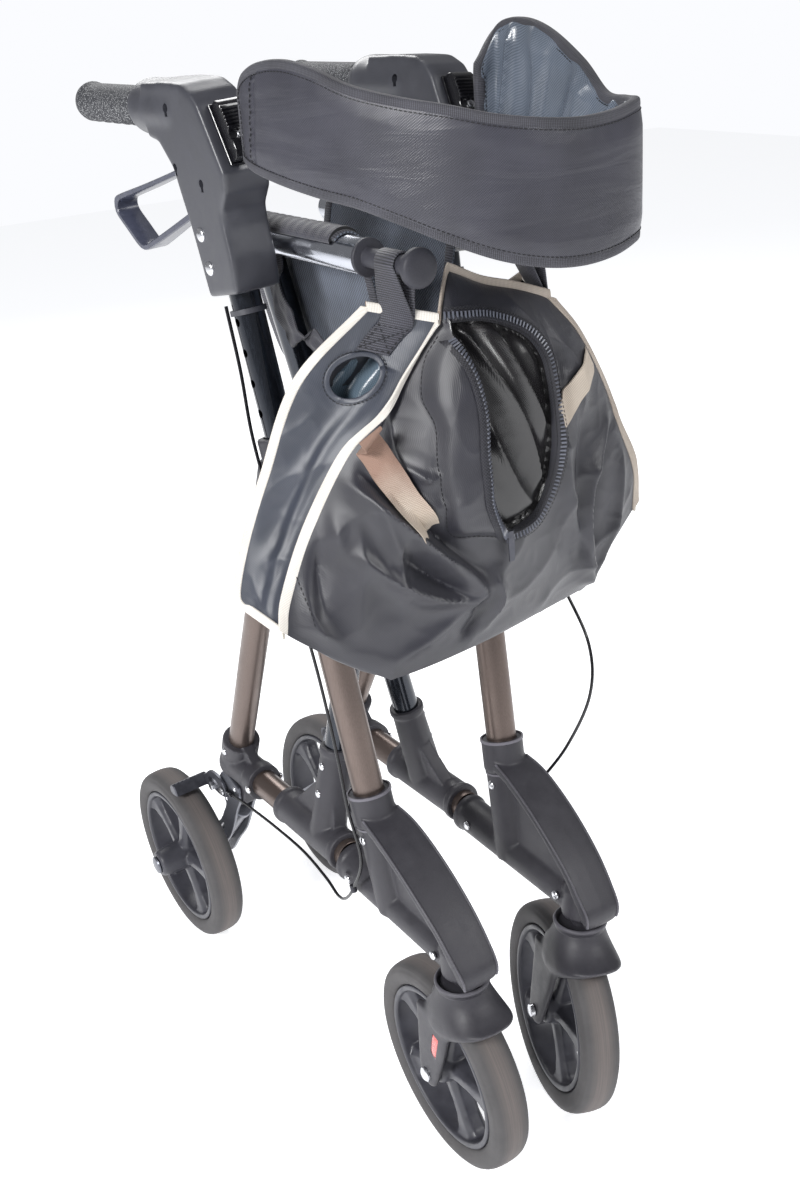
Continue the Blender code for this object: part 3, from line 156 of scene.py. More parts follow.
# The frame tubes. Drawn aluminium, anodised bronze and lightly brushed along their length, each
# pushed into its castings. Each side frame stands leaning a little outward.
LEAN = 0.0577  # how far each side frame leans out, in radians
HALF_TRACK = 0.0589  # from the middle to a frame's plane at its axles, 0.1 m up
CENTRE = 0.12347  # where the frames' own y = 0 lies
LOW = 0.1 * (1.0 - math.cos(LEAN))
MAIN_FOOT = Vector((0.0, -0.275, 0.354))
MAIN_LINE = Vector((0.0, 0.1979, 0.9802)).normalized()
REAR_FOOT = Vector((0.0, 0.008, 0.255))
REAR_LINE = Vector((0.0, -0.4731, 0.881)).normalized()
SIDES = (("right", -1), ("left", 1))
MIDDLE = Matrix.Translation((0.0, CENTRE, -LOW))


def stand(side):
    """From a side frame's own plane, where x points outboard, to the object's place."""
    foot = Matrix.Translation((side * (HALF_TRACK - 0.1 * math.sin(LEAN)), CENTRE, 0.0))
    lean = Matrix.Rotation(side * LEAN, 4, "Y")
    return foot @ lean @ Matrix.Diagonal((side, 1.0, 1.0, 1.0))


def up_main(distance):
    return MAIN_FOOT + MAIN_LINE * distance


def up_rear(distance):
    return REAR_FOOT + REAR_LINE * distance


def weld(mesh, reach=0.0):
    """The mesh with corners within reach joined, and its faces turned outward."""
    work = bmesh.new()
    work.from_mesh(mesh)
    if reach:
        bmesh.ops.remove_doubles(work, verts=work.verts, dist=reach)
    bmesh.ops.recalc_face_normals(work, faces=work.faces)
    work.to_mesh(mesh)
    work.free()
    return mesh


def shape(points, faces):
    """A mesh with its faces turned outward."""
    mesh = bpy.data.meshes.new("shape")
    mesh.from_pydata([tuple(p) for p in points], [], faces)
    return weld(mesh)


def lathe(profile, start, direction, steps=64, closed=False):
    """A turned shape from (distance along the axis, radius) points."""
    axis = Vector(direction).normalized()
    reference = Vector((0, 0, 1)) if abs(axis.z) < 0.9 else Vector((1, 0, 0))
    first = (reference - axis * reference.dot(axis)).normalized()
    second = axis.cross(first)
    points, rings = [], []
    for along, radius in profile:
        count = steps if radius > 0 else 1
        rings.append(range(len(points), len(points) + count))
        for step in range(count):
            turn = math.tau * step / steps
            outward = first * math.cos(turn) + second * math.sin(turn)
            points.append(Vector(start) + axis * along + outward * radius)
    faces = []
    for ring, other in zip(rings, rings[1:] + (rings[:1] if closed else [])):
        for step in range(steps):
            after = (step + 1) % steps
            if len(ring) == 1:
                faces.append((ring[0], other[step], other[after]))
            elif len(other) == 1:
                faces.append((ring[step], ring[after], other[0]))
            else:
                faces.append((ring[step], ring[after], other[after], other[step]))
    if not closed:
        faces += [tuple(ring) for ring in (rings[0], rings[-1]) if len(ring) > 1]
    return shape(points, faces)


def tube(start, end, outer, inner, steps=64):
    """A drawn tube between two points, its cut ends slightly eased."""
    line = Vector(end) - Vector(start)
    ease = min(0.0004, (outer - inner) / 3)
    far = line.length
    profile = [(0, inner), (0, outer - ease), (ease, outer), (far - ease, outer)]
    profile += [(far, outer - ease), (far, inner)]
    return lathe(profile, start, line, steps, closed=True)


def fit(name, mesh, finish, body, stands_for=(), place=None, sharp=35.0):
    """A finished piece: its mesh put in its place, with its finish or its own, riding on its body."""
    if place is not None:
        mesh.transform(place)
        if place.determinant() < 0:
            mesh.flip_normals()
    if finish:
        mesh.materials.clear()
        mesh.materials.append(finish)
    mesh.shade_smooth()
    if sharp:
        mesh.set_sharp_from_angle(angle=math.radians(sharp))
    made = placed(name, mesh)
    if body:
        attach(made, body)
    if stands_for:
        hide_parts(*stands_for)
    return made


def cloudy(finish, scale, detail=2.0, stretch=None, distortion=0.0, roughness=0.5, **settings):
    """Noise over the piece in its own metres. Stretch scales each axis by itself."""
    tree = finish.node_tree
    where = add_node(tree, "ShaderNodeTexCoord").outputs["Object"]
    if stretch:
        where = add_node(tree, "ShaderNodeMapping", {0: where, 3: stretch}).outputs[0]
    values = {
        "Vector": where, "Scale": scale, "Detail": detail, "Distortion": distortion, "Roughness": roughness
    }
    return add_node(tree, "ShaderNodeTexNoise", values, **settings).outputs[0]


def polish(finish, share, low, high, start=0.3, stop=0.7):
    """Roughens the finish from low to high as the share runs from start to stop."""
    dull = add_node(finish.node_tree, "ShaderNodeMapRange", {0: share, 1: start, 2: stop, 3: low, 4: high})
    lead(finish, "Roughness", dull.outputs[0])


def emboss(finish, height, strength, depth):
    """Raises the finish by up to depth metres, over any relief that it has."""
    tree = finish.node_tree
    relief = add_node(tree, "ShaderNodeBump", {"Strength": strength, "Distance": depth, "Height": height})
    for link in tree.nodes["Principled BSDF"].inputs["Normal"].links:
        tree.links.new(link.from_socket, relief.inputs["Normal"])
    lead(finish, "Normal", relief.outputs[0])


# bronze anodised aluminium: warm grey, satin, with fine draw lines along the tube
bronze = start_finish("bronze_anodised_aluminium", "#72665f", 0.3, Metallic=0.8)
lines = cloudy(bronze, 1.0, 3.0, stretch=(2200, 2200, 30))
emboss(bronze, lines, 0.12, 0.0002)
polish(bronze, cloudy(bronze, 28.0, 4.0), 0.28, 0.44)
tint(bronze, lines, "#61554f", "#7d716c")

for name, side in SIDES:
    for piece, low, high, radius in (
        ("main_tube", up_main(-0.047), up_main(0.3215), 0.014),
        ("rear_tube", up_rear(0.026), up_rear(0.4065), 0.013),
        ("bottom_tube", Vector((0, -0.0125, 0.255)), Vector((0, -0.221, 0.255)), 0.014),
    ):
        node = f"{name}_{piece}"
        made = tube(low, high, radius, radius - 0.001)
        fit(f"{node}_drawn", made, bronze, f"{name}_frame", [node], stand(side))

# The castings. Glass-filled nylon, injection moulded in dark grey with a fine spark-eroded grain,
# riveted to the tubes: a front corner with its caster nose, a rear elbow and the upper junction.
COLLAR = 0.0195


def curve_through(points, count):
    """Evenly stepped points on a smooth curve through the given ones."""
    knots = [Vector(p) for p in points]
    knots = [knots[0] * 2 - knots[1]] + knots + [knots[-1] * 2 - knots[-2]]
    dense = []
    for a, b, c, d in zip(knots, knots[1:], knots[2:], knots[3:]):
        for step in range(24):
            t = step / 24
            straight = b * 2 + (c - a) * t
            bend = (a * 2 - b * 5 + c * 4 - d) * t * t + (b * 3 - a - c * 3 + d) * t**3
            dense.append((straight + bend) * 0.5)
    dense.append(knots[-2])
    run = [0.0]
    for before, after in zip(dense, dense[1:]):
        run.append(run[-1] + (after - before).length)
    even, at = [], 0
    for step in range(count):
        goal = run[-1] * step / (count - 1)
        while at < len(dense) - 2 and run[at + 1] < goal:
            at += 1
        even.append(dense[at].lerp(dense[at + 1], (goal - run[at]) / max(run[at + 1] - run[at], 1e-9)))
    return even


def way_at(points, at):
    """The way along a line of points as it passes one of them."""
    return points[min(at + 1, len(points) - 1)] - points[max(at - 1, 0)]


def skin(rows, around=True, ends=True):
    """A surface through rows of points. Its UV map is in metres, along the rows and across them."""
    count = len(rows[0])
    faces = []
    for level in range(len(rows) - 1):
        for at in range(count if around else count - 1):
            a, b = level * count + at, level * count + (at + 1) % count
            faces.append((a, b, b + count, a + count))
    if around and ends:
        top = (len(rows) - 1) * count
        faces += [tuple(range(count)), tuple(range(top, top + count))]
    mesh = shape([p for row in rows for p in row], faces)
    grid = np.array([[tuple(p) for p in row] for row in rows])
    steps = np.linalg.norm(grid[1:] - grid[:-1], axis=2).mean(1)
    along = np.concatenate([[0], np.cumsum(steps)])
    closed = np.concatenate([grid, grid[:, :1]], axis=1)
    gaps = np.linalg.norm(closed[:, 1:] - closed[:, :-1], axis=2)
    over = np.concatenate([np.zeros((len(rows), 1)), np.cumsum(gaps, axis=1)], axis=1)
    layer = mesh.uv_layers.new(name="cloth")
    for face in mesh.polygons:
        spots = [index % count for index in face.vertices]
        wraps = around and 0 in spots and count - 1 in spots
        for corner in face.loop_indices:
            level, at = divmod(mesh.loops[corner].vertex_index, count)
            layer.data[corner].uv = (along[level], over[level][count if wraps and at == 0 else at])
    return mesh


def sweep(path, section, up=None, around=True):
    """A section of (sideways, upward) offsets, or a function of the way's share, along a path."""
    rows, turned = [], None
    for index, place in enumerate(path):
        ahead = way_at(path, index).normalized()
        if turned is None or up is not None:
            guide = Vector(up) if up is not None else Vector((0.02, 0.1, 1.0))
            if abs(ahead.dot(guide.normalized())) > 0.98:
                guide = Vector((1, 0, 0))
        else:
            guide = turned
        turned = (guide - ahead * guide.dot(ahead)).normalized()
        sideways = ahead.cross(turned)
        outline = section(index / (len(path) - 1)) if callable(section) else section
        rows.append([place + sideways * a + turned * b for a, b in outline])
    return skin(rows, around)


def circle(radius, steps=16):
    return [
        (radius * math.cos(math.tau * s / steps), radius * math.sin(math.tau * s / steps))
        for s in range(steps)
    ]


def plate(outline, low, high, axis="x"):
    """A flat plate between two levels of x or y, from its outline square to that axis."""
    if axis == "x":
        rows = [[Vector((level, a, b)) for a, b in outline] for level in (low, high)]
    else:
        rows = [[Vector((a, level, b)) for a, b in outline] for level in (low, high)]
    count = len(outline)
    faces = [tuple(range(count)), tuple(range(count, 2 * count))]
    for at in range(count):
        after = (at + 1) % count
        faces.append((at, after, count + after, count + at))
    return shape(rows[0] + rows[1], faces)


def rod(start, end, radius, steps=48):
    line = Vector(end) - Vector(start)
    return lathe([(0, radius), (line.length, radius)], start, line, steps)


def together(parts):
    """Several shapes as one mesh."""
    work = bmesh.new()
    for part in parts:
        work.from_mesh(part)
    mesh = bpy.data.meshes.new("shape")
    work.to_mesh(mesh)
    work.free()
    return mesh


def add_cut(body, tool_mesh):
    """A step that cuts a shape out of the body. Returns the helper object that holds the shape."""
    step = body.modifiers.new("cut", "BOOLEAN")
    step.operation = "DIFFERENCE"
    step.solver = "EXACT"
    step.object = placed("tool", tool_mesh)
    return step.object


def worked(body, *helpers):
    """The body's mesh with its steps carried out. The objects are cleared away."""
    mesh = bpy.data.meshes.new_from_object(body.evaluated_get(bpy.context.evaluated_depsgraph_get()))
    for used in (body, *helpers):
        bpy.data.objects.remove(used)
    return mesh


def fused(parts, voxel=0.0011, passes=8, hollows=(), bores=(), blend=0):
    """Shapes moulded as one: skinned over, hollowed, softened at their edges, then bored."""
    body = placed("body", together(parts))

    def skin_over(times):
        step = body.modifiers.new("skin", "REMESH")
        step.mode = "VOXEL"
        step.voxel_size = voxel
        step = body.modifiers.new("soften", "SMOOTH")
        step.factor = 0.5
        step.iterations = times

    skin_over(blend or passes)
    tools = [add_cut(body, hollow) for hollow in hollows]
    if hollows:
        skin_over(passes)
    tools += [add_cut(body, bore) for bore in bores]
    return worked(body, *tools)


def front_corner():
    """Post, lower socket, curved arch, web and caster nose."""
    post = lathe(
        [(0, 0.0172), (0.004, 0.0178), (0.087, 0.0178), (0.09, COLLAR), (0.118, COLLAR)], up_main(-0.118),
        MAIN_LINE
    )
    socket = [(0, 0.0188), (0.006, 0.0188), (0.0075, 0.0172), (0.17, 0.0152)]
    socket = lathe(socket, (0, -0.2219, 0.25), (0, -1, -0.06))
    stations = [(-0.286, 0.339, 0.009, 0.0185), (-0.312, 0.3325, 0.008, 0.0208)]
    stations += [(-0.34, 0.319, 0.0075, 0.0215), (-0.368, 0.301, 0.0075, 0.0215)]
    stations += [(-0.394, 0.2805, 0.008, 0.0208), (-0.413, 0.26, 0.009, 0.02)]
    stations += [(-0.4245, 0.244, 0.011, 0.0188), (-0.423, 0.23, 0.012, 0.0168)]
    stations += [(-0.413, 0.224, 0.006, 0.0105)]
    spine = curve_through(stations, 46)
    rows, edges = [], ([], [])
    for at, (y, z, depth, half) in enumerate(spine):
        along = Vector((0, *way_at(spine, at)[:2])).normalized()
        upper = Vector((0, y, z))
        inward = Vector((0, -along.z, along.y))
        lower = upper + inward * depth
        row = []
        for share in (-1.0, -0.9, -0.6, 0.0, 0.6, 0.9, 1.0):
            sink = 0.0014 * share * share
            row.append(upper + inward * sink + Vector((half * share, 0, 0)))
        for share in (1.0, 0.9, 0.0, -0.9, -1.0):
            row.append(lower + Vector((half * share, 0, 0)))
        rows.append(row)
        for rim, sign in zip(edges, (-1, 1)):
            rim.append(upper + inward * 0.0012 + Vector((sign * (half - 0.001), 0, 0)))
    arch = skin(rows)
    nose = [(0, 0.0145), (0.003, 0.0172), (0.028, 0.0172), (0.037, 0.012)]
    nose = lathe(nose, (0, -0.394, 0.2255), (0, 0, 1))
    web = [(-0.288, 0.334), (-0.34, 0.3152), (-0.391, 0.2772), (-0.399, 0.243), (-0.285, 0.243)]
    web = plate(web, -0.006, 0.006)
    boss = rod((0.012, -0.244, 0.25), (0.0188, -0.244, 0.25), 0.0062)
    stem = rod((0, -0.394, 0.19), (0, -0.394, 0.264), 0.0083)
    well = rod((0, -0.19, 0.251), (0, -0.2455, 0.251), 0.0128)
    tube_room = rod(up_main(-0.0473), up_main(0.02), 0.0142)
    cast = fused([post, socket, arch, nose, web, boss], 0.0011, 9, bores=[stem, well, tube_room])
    beads = [sweep(rim[1:-4], circle(0.0011, 10)) for rim in edges]
    lip = lathe(
        [(0.1165, 0.0188), (0.1165, 0.0203), (0.119, 0.0203), (0.119, 0.0188)], up_main(-0.118), MAIN_LINE,
        closed=True
    )
    seam = lathe(
        [(0, 0.017), (0, 0.0186), (0.0016, 0.0186), (0.0016, 0.017)], up_main(-0.0325), MAIN_LINE,
        closed=True
    )
    return together([cast, *beads, lip, seam])


def rear_corner():
    """An elbow with a foot that the wheel strut grips."""
    upright = [(0.002, 0.018), (0.02, 0.018), (0.023, COLLAR), (0.042, COLLAR)]
    upright = lathe(upright, REAR_FOOT, REAR_LINE)
    level = [(-0.003, 0.018), (0.04, 0.018), (0.043, COLLAR), (0.059, COLLAR)]
    level = lathe(level, REAR_FOOT, (0, -1, 0))
    bend = [(0.0198 * math.sin(t), 0.0198 * math.cos(t)) for t in np.linspace(-math.pi / 2, math.pi / 2, 17)]
    bend = lathe(
        [(a, max(r, 0.0)) for a, r in bend[1:-1]], REAR_FOOT + Vector((0, 0.0007, 0.0004)), (1, 0, 0)
    )
    foot = [(-0.016, 0.248), (0.022, 0.25), (0.025, 0.206), (0.01, 0.2), (-0.006, 0.21)]
    foot = plate(foot, -0.0074, 0.0074)
    brace = plate([(-0.046, 0.268), (-0.012, 0.298), (0.004, 0.262)], -0.0055, 0.0055)
    bores = [rod(up_rear(0.0257), up_rear(0.06), 0.0132), rod((0, -0.0122, 0.255), (0, -0.07, 0.255), 0.0142)]
    return fused([upright, level, bend, foot, brace], 0.0011, 9, bores=bores)


def upper_junction():
    """The collar where the rear tube meets the main tube, with the opened rail's cradle."""
    collar = [(0, COLLAR), (0.004, COLLAR), (0.006, 0.018), (0.078, 0.018), (0.08, COLLAR), (0.098, COLLAR)]
    collar = lathe(collar, up_main(0.226), MAIN_LINE)
    socket = rod(up_rear(0.33), up_rear(0.437), 0.0172)
    lip = rod(up_rear(0.33), up_rear(0.343), 0.0185)
    x = 0.033 - (HALF_TRACK - 0.1 * math.sin(LEAN))
    z = 0.6283 - LOW
    x, z = x * math.cos(LEAN) - z * math.sin(LEAN), x * math.sin(LEAN) + z * math.cos(LEAN)
    section = [(-0.005, 0.635), (-0.005, 0.59), (x + 0.008, z - 0.0215), (x - 0.008, z - 0.0215)]
    section += [(x - 0.0125, z - 0.009), (x + 0.0125, z - 0.009), (x + 0.02, z - 0.005)]
    arm = plate(section, -0.233, -0.209, "y")
    bores = [rod(up_main(0.2), up_main(0.35), 0.0142), rod(up_rear(0.3), up_rear(0.4068), 0.0132)]
    rest = rod((x, -0.243, z), (x, -0.199, z), 0.0143)
    return fused([collar, socket, lip, arm], 0.0011, 9, bores=bores + [rest])


# moulded nylon: dark neutral grey with a breath of violet, satin, with a fine even grain
nylon = start_finish("grained_glass_filled_nylon", "#353439", 0.4, Specular_IOR_Level=0.45)
# the grain is 0.25 mm in life, drawn at 0.9 mm so that it shows
emboss(nylon, cloudy(nylon, 1 / 0.0009), 0.3, 0.0004)
scuffs = cloudy(nylon, 55.0, 6.0, roughness=0.7)
polish(nylon, scuffs, 0.42, 0.6, 0.35, 0.75)
bare = tint(nylon, scuffs, "#2d2c31", "#424147")
# convex edges, found by pointiness, are painted paler: a painted highlight along the edges
edge = add_node(nylon.node_tree, "ShaderNodeNewGeometry").outputs["Pointiness"]
painted_edge_highlight = add_node(nylon.node_tree, "ShaderNodeMapRange", {0: edge, 1: 0.53, 2: 0.6})
tint(nylon, painted_edge_highlight.outputs[0], bare, "#6b6971")

for piece, made in (
    ("front_casting", front_corner()),
    ("rear_casting", rear_corner()),
    ("frame_junction", upper_junction()),
):
    for name, side in SIDES:
        fit(
            f"{name}_{piece}_moulded", made.copy(), nylon, f"{name}_frame", [f"{name}_{piece}"],
            stand(side)
        )

# The rivets. Zinc-plated steel domes, peened over on both faces of each casting.


def grow(name, tree, places, facings, inputs):
    """The mesh that a geometry tree grows on these places, each with the way that it faces."""
    seeds = bpy.data.meshes.new(name)
    seeds.from_pydata([tuple(p) for p in places], [], [])
    ways = seeds.attributes.new("facing", "FLOAT_VECTOR", "POINT")
    ways.data.foreach_set("vector", [c for way in facings for c in way])
    plant = placed(name, seeds)
    step = plant.modifiers.new("grow", "NODES")
    step.node_group = tree
    for item in tree.interface.items_tree:
        if item.item_type == "SOCKET" and item.in_out == "INPUT" and item.name in inputs:
            step[item.identifier] = inputs[item.name]
    plant.data.update()
    return worked(plant)


def start_tree(name, sockets):
    """A geometry tree with these named inputs, its input and output nodes."""
    tree = bpy.data.node_groups.new(name, "GeometryNodeTree")
    tree.interface.new_socket("Places", in_out="INPUT", socket_type="NodeSocketGeometry")
    for label, kind in sockets:
        tree.interface.new_socket(label, in_out="INPUT", socket_type=kind)
    tree.interface.new_socket("Made", in_out="OUTPUT", socket_type="NodeSocketGeometry")
    return tree, add_node(tree, "NodeGroupInput"), add_node(tree, "NodeGroupOutput")


def finish_tree(tree, given, result, item, smooth=False):
    """Puts the item on every place, turned to face its way, in the material of the last input."""
    facing = add_node(tree, "GeometryNodeInputNamedAttribute", {"Name": "facing"}, data_type="FLOAT_VECTOR")
    aim = add_node(tree, "FunctionNodeAlignRotationToVector", {"Vector": facing.outputs[0]}, axis="Z")
    scatter = {"Points": given.outputs[0], "Instance": item.outputs[0], "Rotation": aim.outputs[0]}
    made = add_node(tree, "GeometryNodeInstanceOnPoints", scatter)
    made = add_node(tree, "GeometryNodeRealizeInstances", {0: made.outputs[0]})
    if smooth:
        made = add_node(tree, "GeometryNodeSetShadeSmooth", {0: made.outputs[0]})
    made = add_node(
        tree, "GeometryNodeSetMaterial", {"Geometry": made.outputs[0], "Material": given.outputs[3]}
    )
    tree.links.new(made.outputs[0], result.inputs[0])


rivet_tree, given, result = start_tree(
    "rivet_heads",
    [("Head radius", "NodeSocketFloat"), ("Head height", "NodeSocketFloat"), ("Metal", "NodeSocketMaterial")],
)
ball = add_node(rivet_tree, "GeometryNodeMeshUVSphere", {"Segments": 20, "Rings": 10, "Radius": 1.0})
size = add_node(
    rivet_tree, "ShaderNodeCombineXYZ", {0: given.outputs[1], 1: given.outputs[1], 2: given.outputs[2]}
)
dome = add_node(rivet_tree, "GeometryNodeTransform", {"Geometry": ball.outputs[0], "Scale": size.outputs[0]})
finish_tree(rivet_tree, given, result, dome, smooth=True)

# bright zinc plating: silvery, a little cloudy
zinc = start_finish("zinc_plated_steel", "#d9dade", 0.24, Metallic=1.0)
cloud = cloudy(zinc, 420.0, 3.0)
polish(zinc, cloud, 0.16, 0.36)
emboss(zinc, cloud, 0.08, 0.0002)


def rivet(name, spots, radius, height, body, place):
    """Zinc domes at spots of (place, facing), as one piece on a body."""
    domes = {"Head radius": radius, "Head height": height, "Metal": zinc}
    made = grow("rivets", rivet_tree, [p for p, w in spots], [w for p, w in spots], domes)
    fit(name, made, zinc, body, place=place, sharp=0)


def both_faces(middle, reach):
    """Rivet spots on both faces of a piece, reach from its middle."""
    return [(middle + OUT * reach, OUT), (middle - OUT * reach, -OUT)]


OUT = Vector((1, 0, 0))
frame_rivets = [(Vector((0.019, -0.244, 0.25)), OUT), (Vector((-0.0174, -0.244, 0.25)), -OUT)]
for middle, reach in (
    (Vector((0, -0.379, 0.244)), 0.0174),
    (up_main(-0.042), 0.0178),
    (up_rear(0.03), 0.0194),
    (Vector((0, -0.05, 0.255)), 0.0194),
    (up_main(0.262), 0.018),
    (up_rear(0.38), 0.0172),
):
    frame_rivets += both_faces(middle, reach)
for name, side in SIDES:
    rivet(f"{name}_frame_rivets", frame_rivets, 0.0043, 0.0021, f"{name}_frame", stand(side))

# The wheels. Solid 200 mm tyres of grey polyurethane, worn matt on the tread, on deep moulded
# nylon rims with five flared spokes. The rear hubs stand out past the rim.
WHEEL = 0.1
AXLE_HOLE = 0.0043  # the radius bored for an 8 mm axle
HUB_OUT = 0.04


def tyre():
    """A solid tyre about the x axis, its crown rounded and a moulding line at each shoulder."""
    half = [(0.0135, 0.079), (0.0158, 0.0812), (0.0172, 0.084), (0.018, 0.0875), (0.018, 0.0905)]
    half += [(0.0174, 0.0934), (0.0166, 0.0941), (0.0164, 0.095), (0.0152, 0.0967), (0.0128, 0.0982)]
    half += [(0.0096, 0.0992), (0.0052, 0.0998), (0.0, 0.1)]
    profile = [(-a, r) for a, r in half] + [(a, r) for a, r in reversed(half[:-1])]
    rows = []
    for step in range(113):
        turn = math.tau * step / 112
        rows.append([Vector((a, r * math.cos(turn), r * math.sin(turn))) for a, r in profile])
    return weld(skin(rows, ends=False), 1e-6)


def rim(low, high, hub):
    """A deep band with five spokes that broaden at both ends, about the x axis."""
    band = [(-0.0158, 0.074), (-0.0158, 0.0782), (-0.014, 0.0787), (0.014, 0.0787), (0.0158, 0.0782)]
    band += [(0.0158, 0.074), (0.014, 0.0728), (-0.014, 0.0728)]
    band = lathe(band, (0, 0, 0), OUT, 96, closed=True)
    core = [
        (low, hub - 0.001), (low + 0.002, hub), (0, hub + 0.003), (high - 0.004, hub),
        (high - 0.001, hub - 0.0012), (high, hub - 0.0034)
    ]
    core = lathe(core, (0, 0, 0), OUT, 48)
    parts = [band, core]
    corners = [(1, -0.55), (1, 0.55), (0.55, 1), (-0.55, 1), (-1, 0.55), (-1, -0.55), (-0.55, -1)]
    corners.insert(0, (0.55, -1))
    for spoke in range(5):
        rows = []
        for reach, wide, deep in (
            (0.008, 0.0098, 0.012),
            (0.022, 0.008, 0.0108),
            (0.036, 0.0076, 0.0098),
            (0.052, 0.009, 0.0096),
            (0.066, 0.0138, 0.0104),
            (0.0755, 0.0215, 0.0118),
        ):
            rows.append([Vector((deep * a, wide * b, reach)) for a, b in corners])
        blade = skin(rows)
        blade.transform(Matrix.Rotation(math.tau * spoke / 5 + 0.3, 4, "X"))
        parts.append(blade)
    bore = rod((low - 0.01, 0, 0), (high + 0.01, 0, 0), AXLE_HOLE, 24)
    return fused(parts, 0.0011, 10, bores=[bore])


def maths(tree, operation, *values, **settings):
    """One step of arithmetic on a shader's values."""
    inputs = dict(enumerate(values))
    return add_node(tree, "ShaderNodeMath", inputs, operation=operation, **settings).outputs[0]


# polyurethane tyre: warm grey, matt and a little browner where the tread has rolled
rubber = start_finish("grey_polyurethane", "#6b6969", 0.7, Specular_IOR_Level=0.35)
tree = rubber.node_tree
around = add_node(tree, "ShaderNodeUVMap", uv_map="cloth").outputs[0]
split = add_node(tree, "ShaderNodeSeparateXYZ", {0: around})
streaks = add_node(tree, "ShaderNodeMapping", {0: around, 3: (14, 900, 1)}).outputs[0]
streaks = add_node(tree, "ShaderNodeTexNoise", {"Vector": streaks, "Scale": 1.0, "Detail": 4.0}).outputs[0]
rolled = maths(tree, "ABSOLUTE", maths(tree, "SUBTRACT", split.outputs[1], 0.0357))
rolled = add_node(tree, "ShaderNodeMapRange", {0: rolled, 1: 0.0035, 2: 0.0125, 3: 1.0, 4: 0.0}).outputs[0]
rolled = maths(tree, "MULTIPLY", rolled, streaks)
bare = tint(rubber, cloudy(rubber, 38.0, 6.0, roughness=0.65), "#444344", "#5d5b5c")
tint(rubber, rolled, bare, "#7a716d")
emboss(rubber, streaks, 0.25, 0.0004)

# rim nylon: darker and smoother than the castings, with moulding flow in its gloss
rim_nylon = start_finish("smooth_moulded_nylon", "#47474e", 0.4, Specular_IOR_Level=0.5)
flow = cloudy(rim_nylon, 70.0, 5.0)
polish(rim_nylon, flow, 0.3, 0.5)
tint(rim_nylon, flow, "#34343a", "#4a4a52")
emboss(rim_nylon, cloudy(rim_nylon, 1 / 0.0012, 1.0), 0.1, 0.0003)

SWIVEL = {"right": math.radians(-2.5), "left": math.radians(-16.7)}
REAR_AXLE = Vector((0.0375, 0.111, WHEEL + 0.0375 * math.tan(LEAN)))


def under_stem(name, side):
    """The place of a caster's parts, modelled about its stem and the wheel's trail."""
    out = -side * 0.036 * math.sin(SWIVEL[name]) * math.tan(LEAN)
    foot = Matrix.Translation((side * (HALF_TRACK - 0.1 * math.sin(LEAN)), CENTRE, 0.0))
    lean = Matrix.Rotation(side * LEAN, 4, "Y")
    stem = Matrix.Translation((0.0, -0.394, out)) @ Matrix.Rotation(SWIVEL[name], 4, "Z")
    return foot @ lean @ stem @ Matrix.Diagonal((side, 1.0, 1.0, 1.0))


tread, front_rim, rear_rim = tyre(), rim(-0.02, 0.02, 0.0145), rim(-0.0257, HUB_OUT, 0.0152)
for name, side in SIDES:
    front = under_stem(name, side) @ Matrix.Translation((0, 0.036, WHEEL))
    rear = stand(side) @ Matrix.Translation(REAR_AXLE)
    for end, place, hub in (("front", front, front_rim), ("rear", rear, rear_rim)):
        body = f"{name}_{end}_wheel"
        fit(f"{name}_{end}_tread", tread.copy(), rubber, body, [f"{name}_{end}_tyre"], place, 50)
        fit(f"{name}_{end}_spokes", hub.copy(), rim_nylon, body, [f"{name}_{end}_rim"], place, 60)

# The casters. A one-piece nylon hood and fork, a steel stem and through bolt, a red reflector
# pressed into the outer leg.
POCKET_SHAPE = [(0.005, 0.161), (0.014, 0.163), (0.022, 0.137), (0.015, 0.133)]


def rounded(points, count):
    """A smooth closed outline through points."""
    return curve_through([*points, points[0]], count + 1)[:-1]


def cells(finish, pitch):
    """Cells a pitch apart over the piece, rising from each one's middle."""
    where = add_node(finish.node_tree, "ShaderNodeTexCoord").outputs["Object"]
    return add_node(
        finish.node_tree, "ShaderNodeTexVoronoi", {"Vector": where, "Scale": 1 / pitch}
    ).outputs["Distance"]


